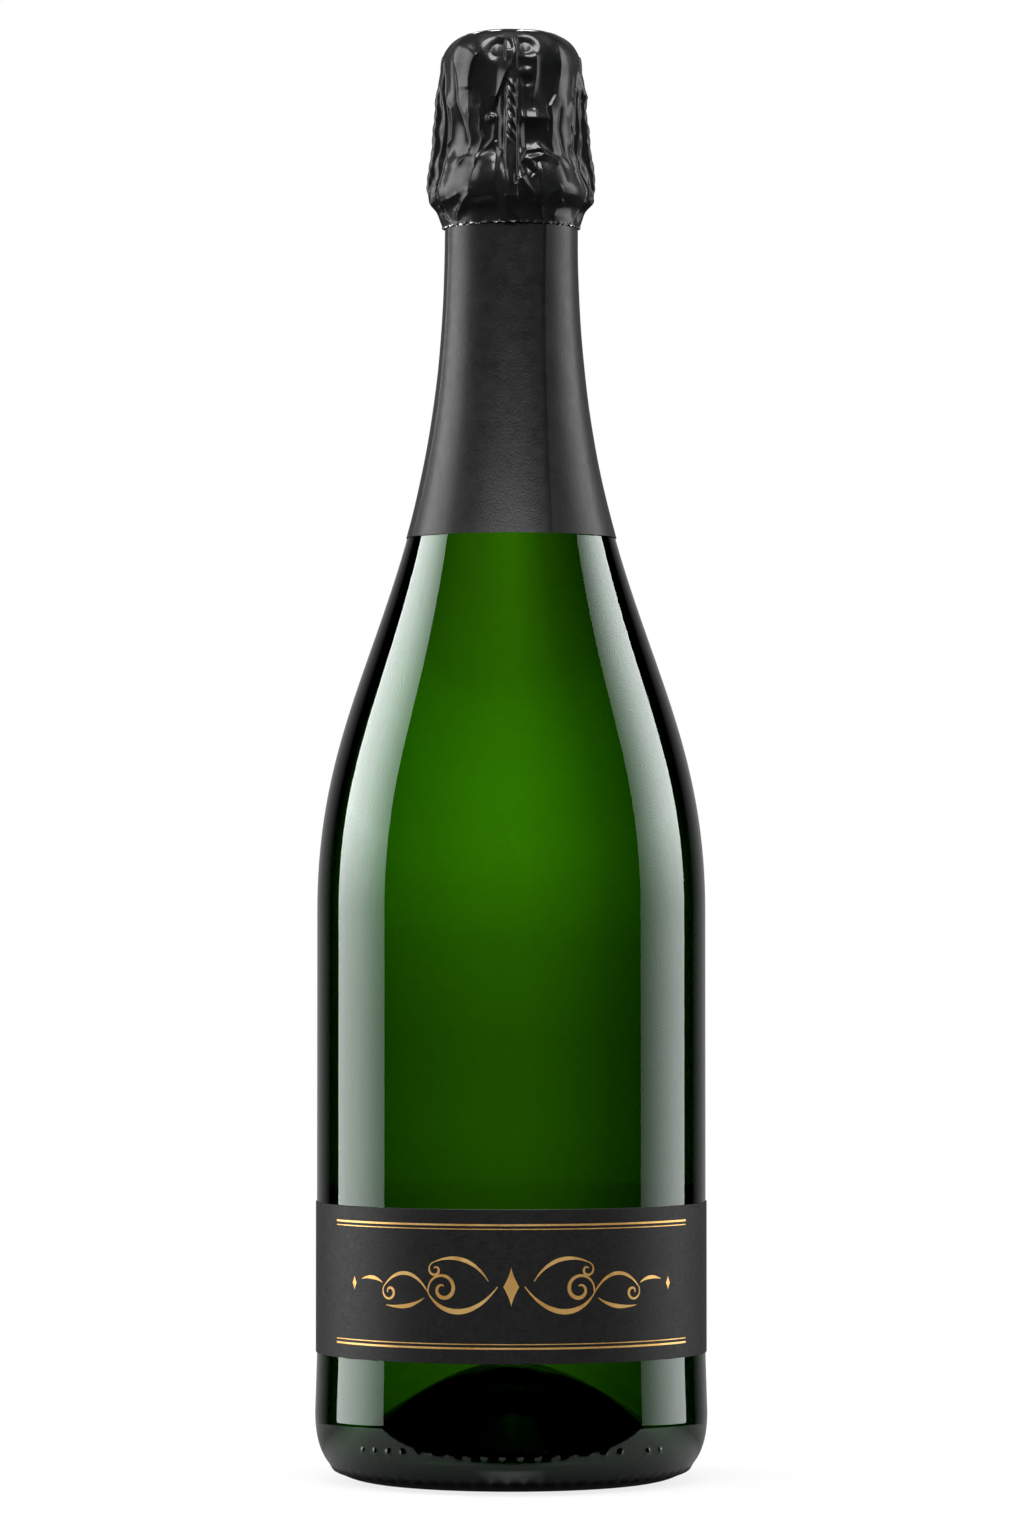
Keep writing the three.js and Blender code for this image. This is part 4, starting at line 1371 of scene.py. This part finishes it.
# Light along the card, from its left end to its right end, and from its foot to its top
CARD_ACROSS = [
    (-0.06, 0.0),
    (-0.03, 0.2),
    (-0.02, 0.33),
    (-0.0105, 0.5),
    (-0.0055, 0.76),
    (-0.001, 1.0),
    (0.002, 1.0),
    (0.008, 0.84),
    (0.02, 0.66),
    (0.032, 0.48),
    (0.06, 0.0),
]
CARD_UP = [
    (0.0, 0.34),
    (0.012, 0.28),
    (0.056, 0.22),
    (0.062, 0.26),
    (0.072, 0.3),
    (0.095, 0.3),
    (0.107, 0.355),
    (0.119, 0.42),
    (0.13, 0.585),
    (0.136, 0.77),
    (0.142, 0.84),
    (0.148, 0.745),
    (0.154, 0.57),
    (0.163, 0.51),
    (0.176, 0.47),
    (0.192, 0.49),
    (0.26, 0.5),
]


def card_material():
    material, tree, _ = new_material("painted_light_card")
    x, _, z = axes(tree, object_place(tree))
    # The card's glow is painted light, seen only by rays that came through the glass
    level = product(tree, profile(tree, x, CARD_ACROSS), profile(tree, z, CARD_UP))
    through = add_node(tree, "LightPath").outputs["Is Transmission Ray"]
    glow = emission(tree, product(tree, level, CARD_STRENGTH))
    show(tree, Surface=mixed_shader(tree, through, see_through(tree), glow))
    return material


card_ends = (-CARD_HALF_WIDTH_M, CARD_HALF_WIDTH_M)
card_points = [(x, CARD_DISTANCE_M, CARD_FOOT_M) for x in card_ends]
card_points += [(x, CARD_DISTANCE_M, CARD_HEIGHT_M) for x in card_ends[::-1]]
make_set_piece("painted_light_card", card_points, card_material())

# Lamps: softboxes at the sides, a little behind the bottle, and two above, for gloss and for matt surfaces

SOFTBOX_DISTANCE_M = 2.0
SOFTBOX_LOW_M = -0.2
SOFTBOX_HIGH_M = 1.9
# A softbox dims to half from the second of these heights down to the first
DIM_BELOW_M = (0.1, 0.52)
TOP_BOX_DEGREES = 63.0
TOP_BOX_DISTANCE_M = 1.5
TOP_BOX_SIZE_M = (1.2, 0.95)
TOP_TARGET_M = (0, 0, 0.25)


def aim_lamp(name, shape, radiance, place, target, matt=True, glossy=True):
    """An area lamp turned to a target, for matt surfaces, glossy ones or both, and unseen by the camera."""
    light = bpy.data.lights.new(name, "AREA")
    light.shape = "RECTANGLE"
    light.size, light.size_y = shape
    light.energy = 4 * shape[0] * shape[1] * radiance
    light.use_nodes = True
    obj = add_object(name, light)
    obj.location = place
    obj.rotation_euler = (Vector(target) - Vector(place)).to_track_quat("-Z", "Y").to_euler()
    obj.visible_camera = False
    obj.visible_transmission = False
    obj.visible_diffuse = matt
    obj.visible_glossy = glossy
    return light.node_tree


def make_softbox(name, side, front_degrees, back_degrees, radiance, fall_from, fall_to, front_share):
    """A tall lamp between two directions from the camera. It dims towards its front edge and below."""
    turned = math.radians((front_degrees + back_degrees) / 2)
    width = 2 * SOFTBOX_DISTANCE_M * math.tan(math.radians(back_degrees - front_degrees) / 2)
    tall = SOFTBOX_HIGH_M - SOFTBOX_LOW_M
    middle = (SOFTBOX_LOW_M + SOFTBOX_HIGH_M) / 2
    place = (side * SOFTBOX_DISTANCE_M * math.sin(turned), -SOFTBOX_DISTANCE_M * math.cos(turned), middle)
    tree = aim_lamp(name, (width, tall), radiance, place, (0, 0, middle))
    x, y, _ = axes(tree, add_node(tree, "NewGeometry").outputs["Parametric"])
    if side < 0:
        fall_from, fall_to = 1 - fall_from, 1 - fall_to
    across = spread(tree, x, fall_from, fall_to, 1.0, front_share, "SMOOTHSTEP")
    dim, bright = ((height - SOFTBOX_LOW_M) / tall for height in DIM_BELOW_M)
    up = spread(tree, y, dim, bright, 0.5, 1.0)
    feed(tree, tree.nodes["Emission"], {"Strength": product(tree, across, up)})


make_softbox("softbox_left", -1, 79.7, 123.0, 6.9, 0.62, -0.2, 0.3)
make_softbox("softbox_right", 1, 81.7, 123.4, 5.4, 0.75, -0.15, 0.15)
top_angle = math.radians(TOP_BOX_DEGREES)
top_rise = TOP_BOX_DISTANCE_M * math.sin(top_angle)
top_place = (0, -TOP_BOX_DISTANCE_M * math.cos(top_angle), TOP_TARGET_M[2] + top_rise)
aim_lamp("top_box", TOP_BOX_SIZE_M, 29.0, top_place, TOP_TARGET_M, matt=False)
aim_lamp("top_fill", TOP_BOX_SIZE_M, 8.7, top_place, TOP_TARGET_M, glossy=False)

# World: white to the camera, a dim room to what reflects or refracts it, an even fill for the rest

ROOM_FILL = 0.55
ROOM_BEHIND = 0.3
ROOM_ABOVE = 0.9
ROOM_IN_FRONT = 0.7
# Light that has come straight through the bottle has passed more surfaces than this
SURFACES_PASSED = 5.5


def background(tree, strength):
    return add_node(tree, "Background", {"Color": (1, 1, 1), "Strength": strength}).outputs["Background"]


def make_world():
    world = bpy.data.worlds.new("studio")
    bpy.context.scene.world = world
    world.use_nodes = True
    tree = world.node_tree
    tree.nodes.clear()
    path = add_node(tree, "LightPath").outputs
    _, y, z = axes(tree, add_node(tree, "TexCoord").outputs["Generated"])
    behind = spread(tree, y, 0.72, 0.96, 0.0, ROOM_BEHIND)
    above = spread(tree, z, 0.76, 0.94, 0.0, ROOM_ABOVE, "SMOOTHSTEP")
    level_ray = spread(tree, combine(tree, "ABSOLUTE", z), 0.2, 0.4, 1.0, 0.0)
    through = spread(tree, y, 0.3, -0.25, 0.0, ROOM_IN_FRONT, "SMOOTHSTEP")
    straight = combine(tree, "GREATER_THAN", path["Transmission Depth"], SURFACES_PASSED)
    strengths = {
        "Is Glossy Ray": combine(tree, "MAXIMUM", behind, above),
        "Is Transmission Ray": product(tree, product(tree, through, level_ray), straight),
        "Is Camera Ray": 1.0,
    }
    result = background(tree, ROOM_FILL)
    for ray, strength in strengths.items():
        result = mixed_shader(tree, path[ray], result, background(tree, strength))
    add_node(tree, "OutputWorld", {"Surface": result})


make_world()

# Camera, at the photograph's height and distance

CAMERA_X_M = 0.00016
CAMERA_DISTANCE_M = 1.4335
CAMERA_HEIGHT_M = 0.12694
CAMERA_TILT_DEGREES = 1.291
CAMERA_LENS = 149.77
CAMERA_SENSOR = 36.0

camera_data = bpy.data.cameras.new("camera")
camera_data.sensor_fit = "VERTICAL"
camera_data.sensor_height = CAMERA_SENSOR
camera_data.lens = CAMERA_LENS
camera_data.clip_end = 20
camera = add_object("camera", camera_data)
camera.location = (CAMERA_X_M, -CAMERA_DISTANCE_M, CAMERA_HEIGHT_M)
camera.rotation_euler = (math.radians(90 + CAMERA_TILT_DEGREES), 0, 0)
bpy.context.scene.camera = camera
bpy.context.scene.view_settings.view_transform = "Standard"
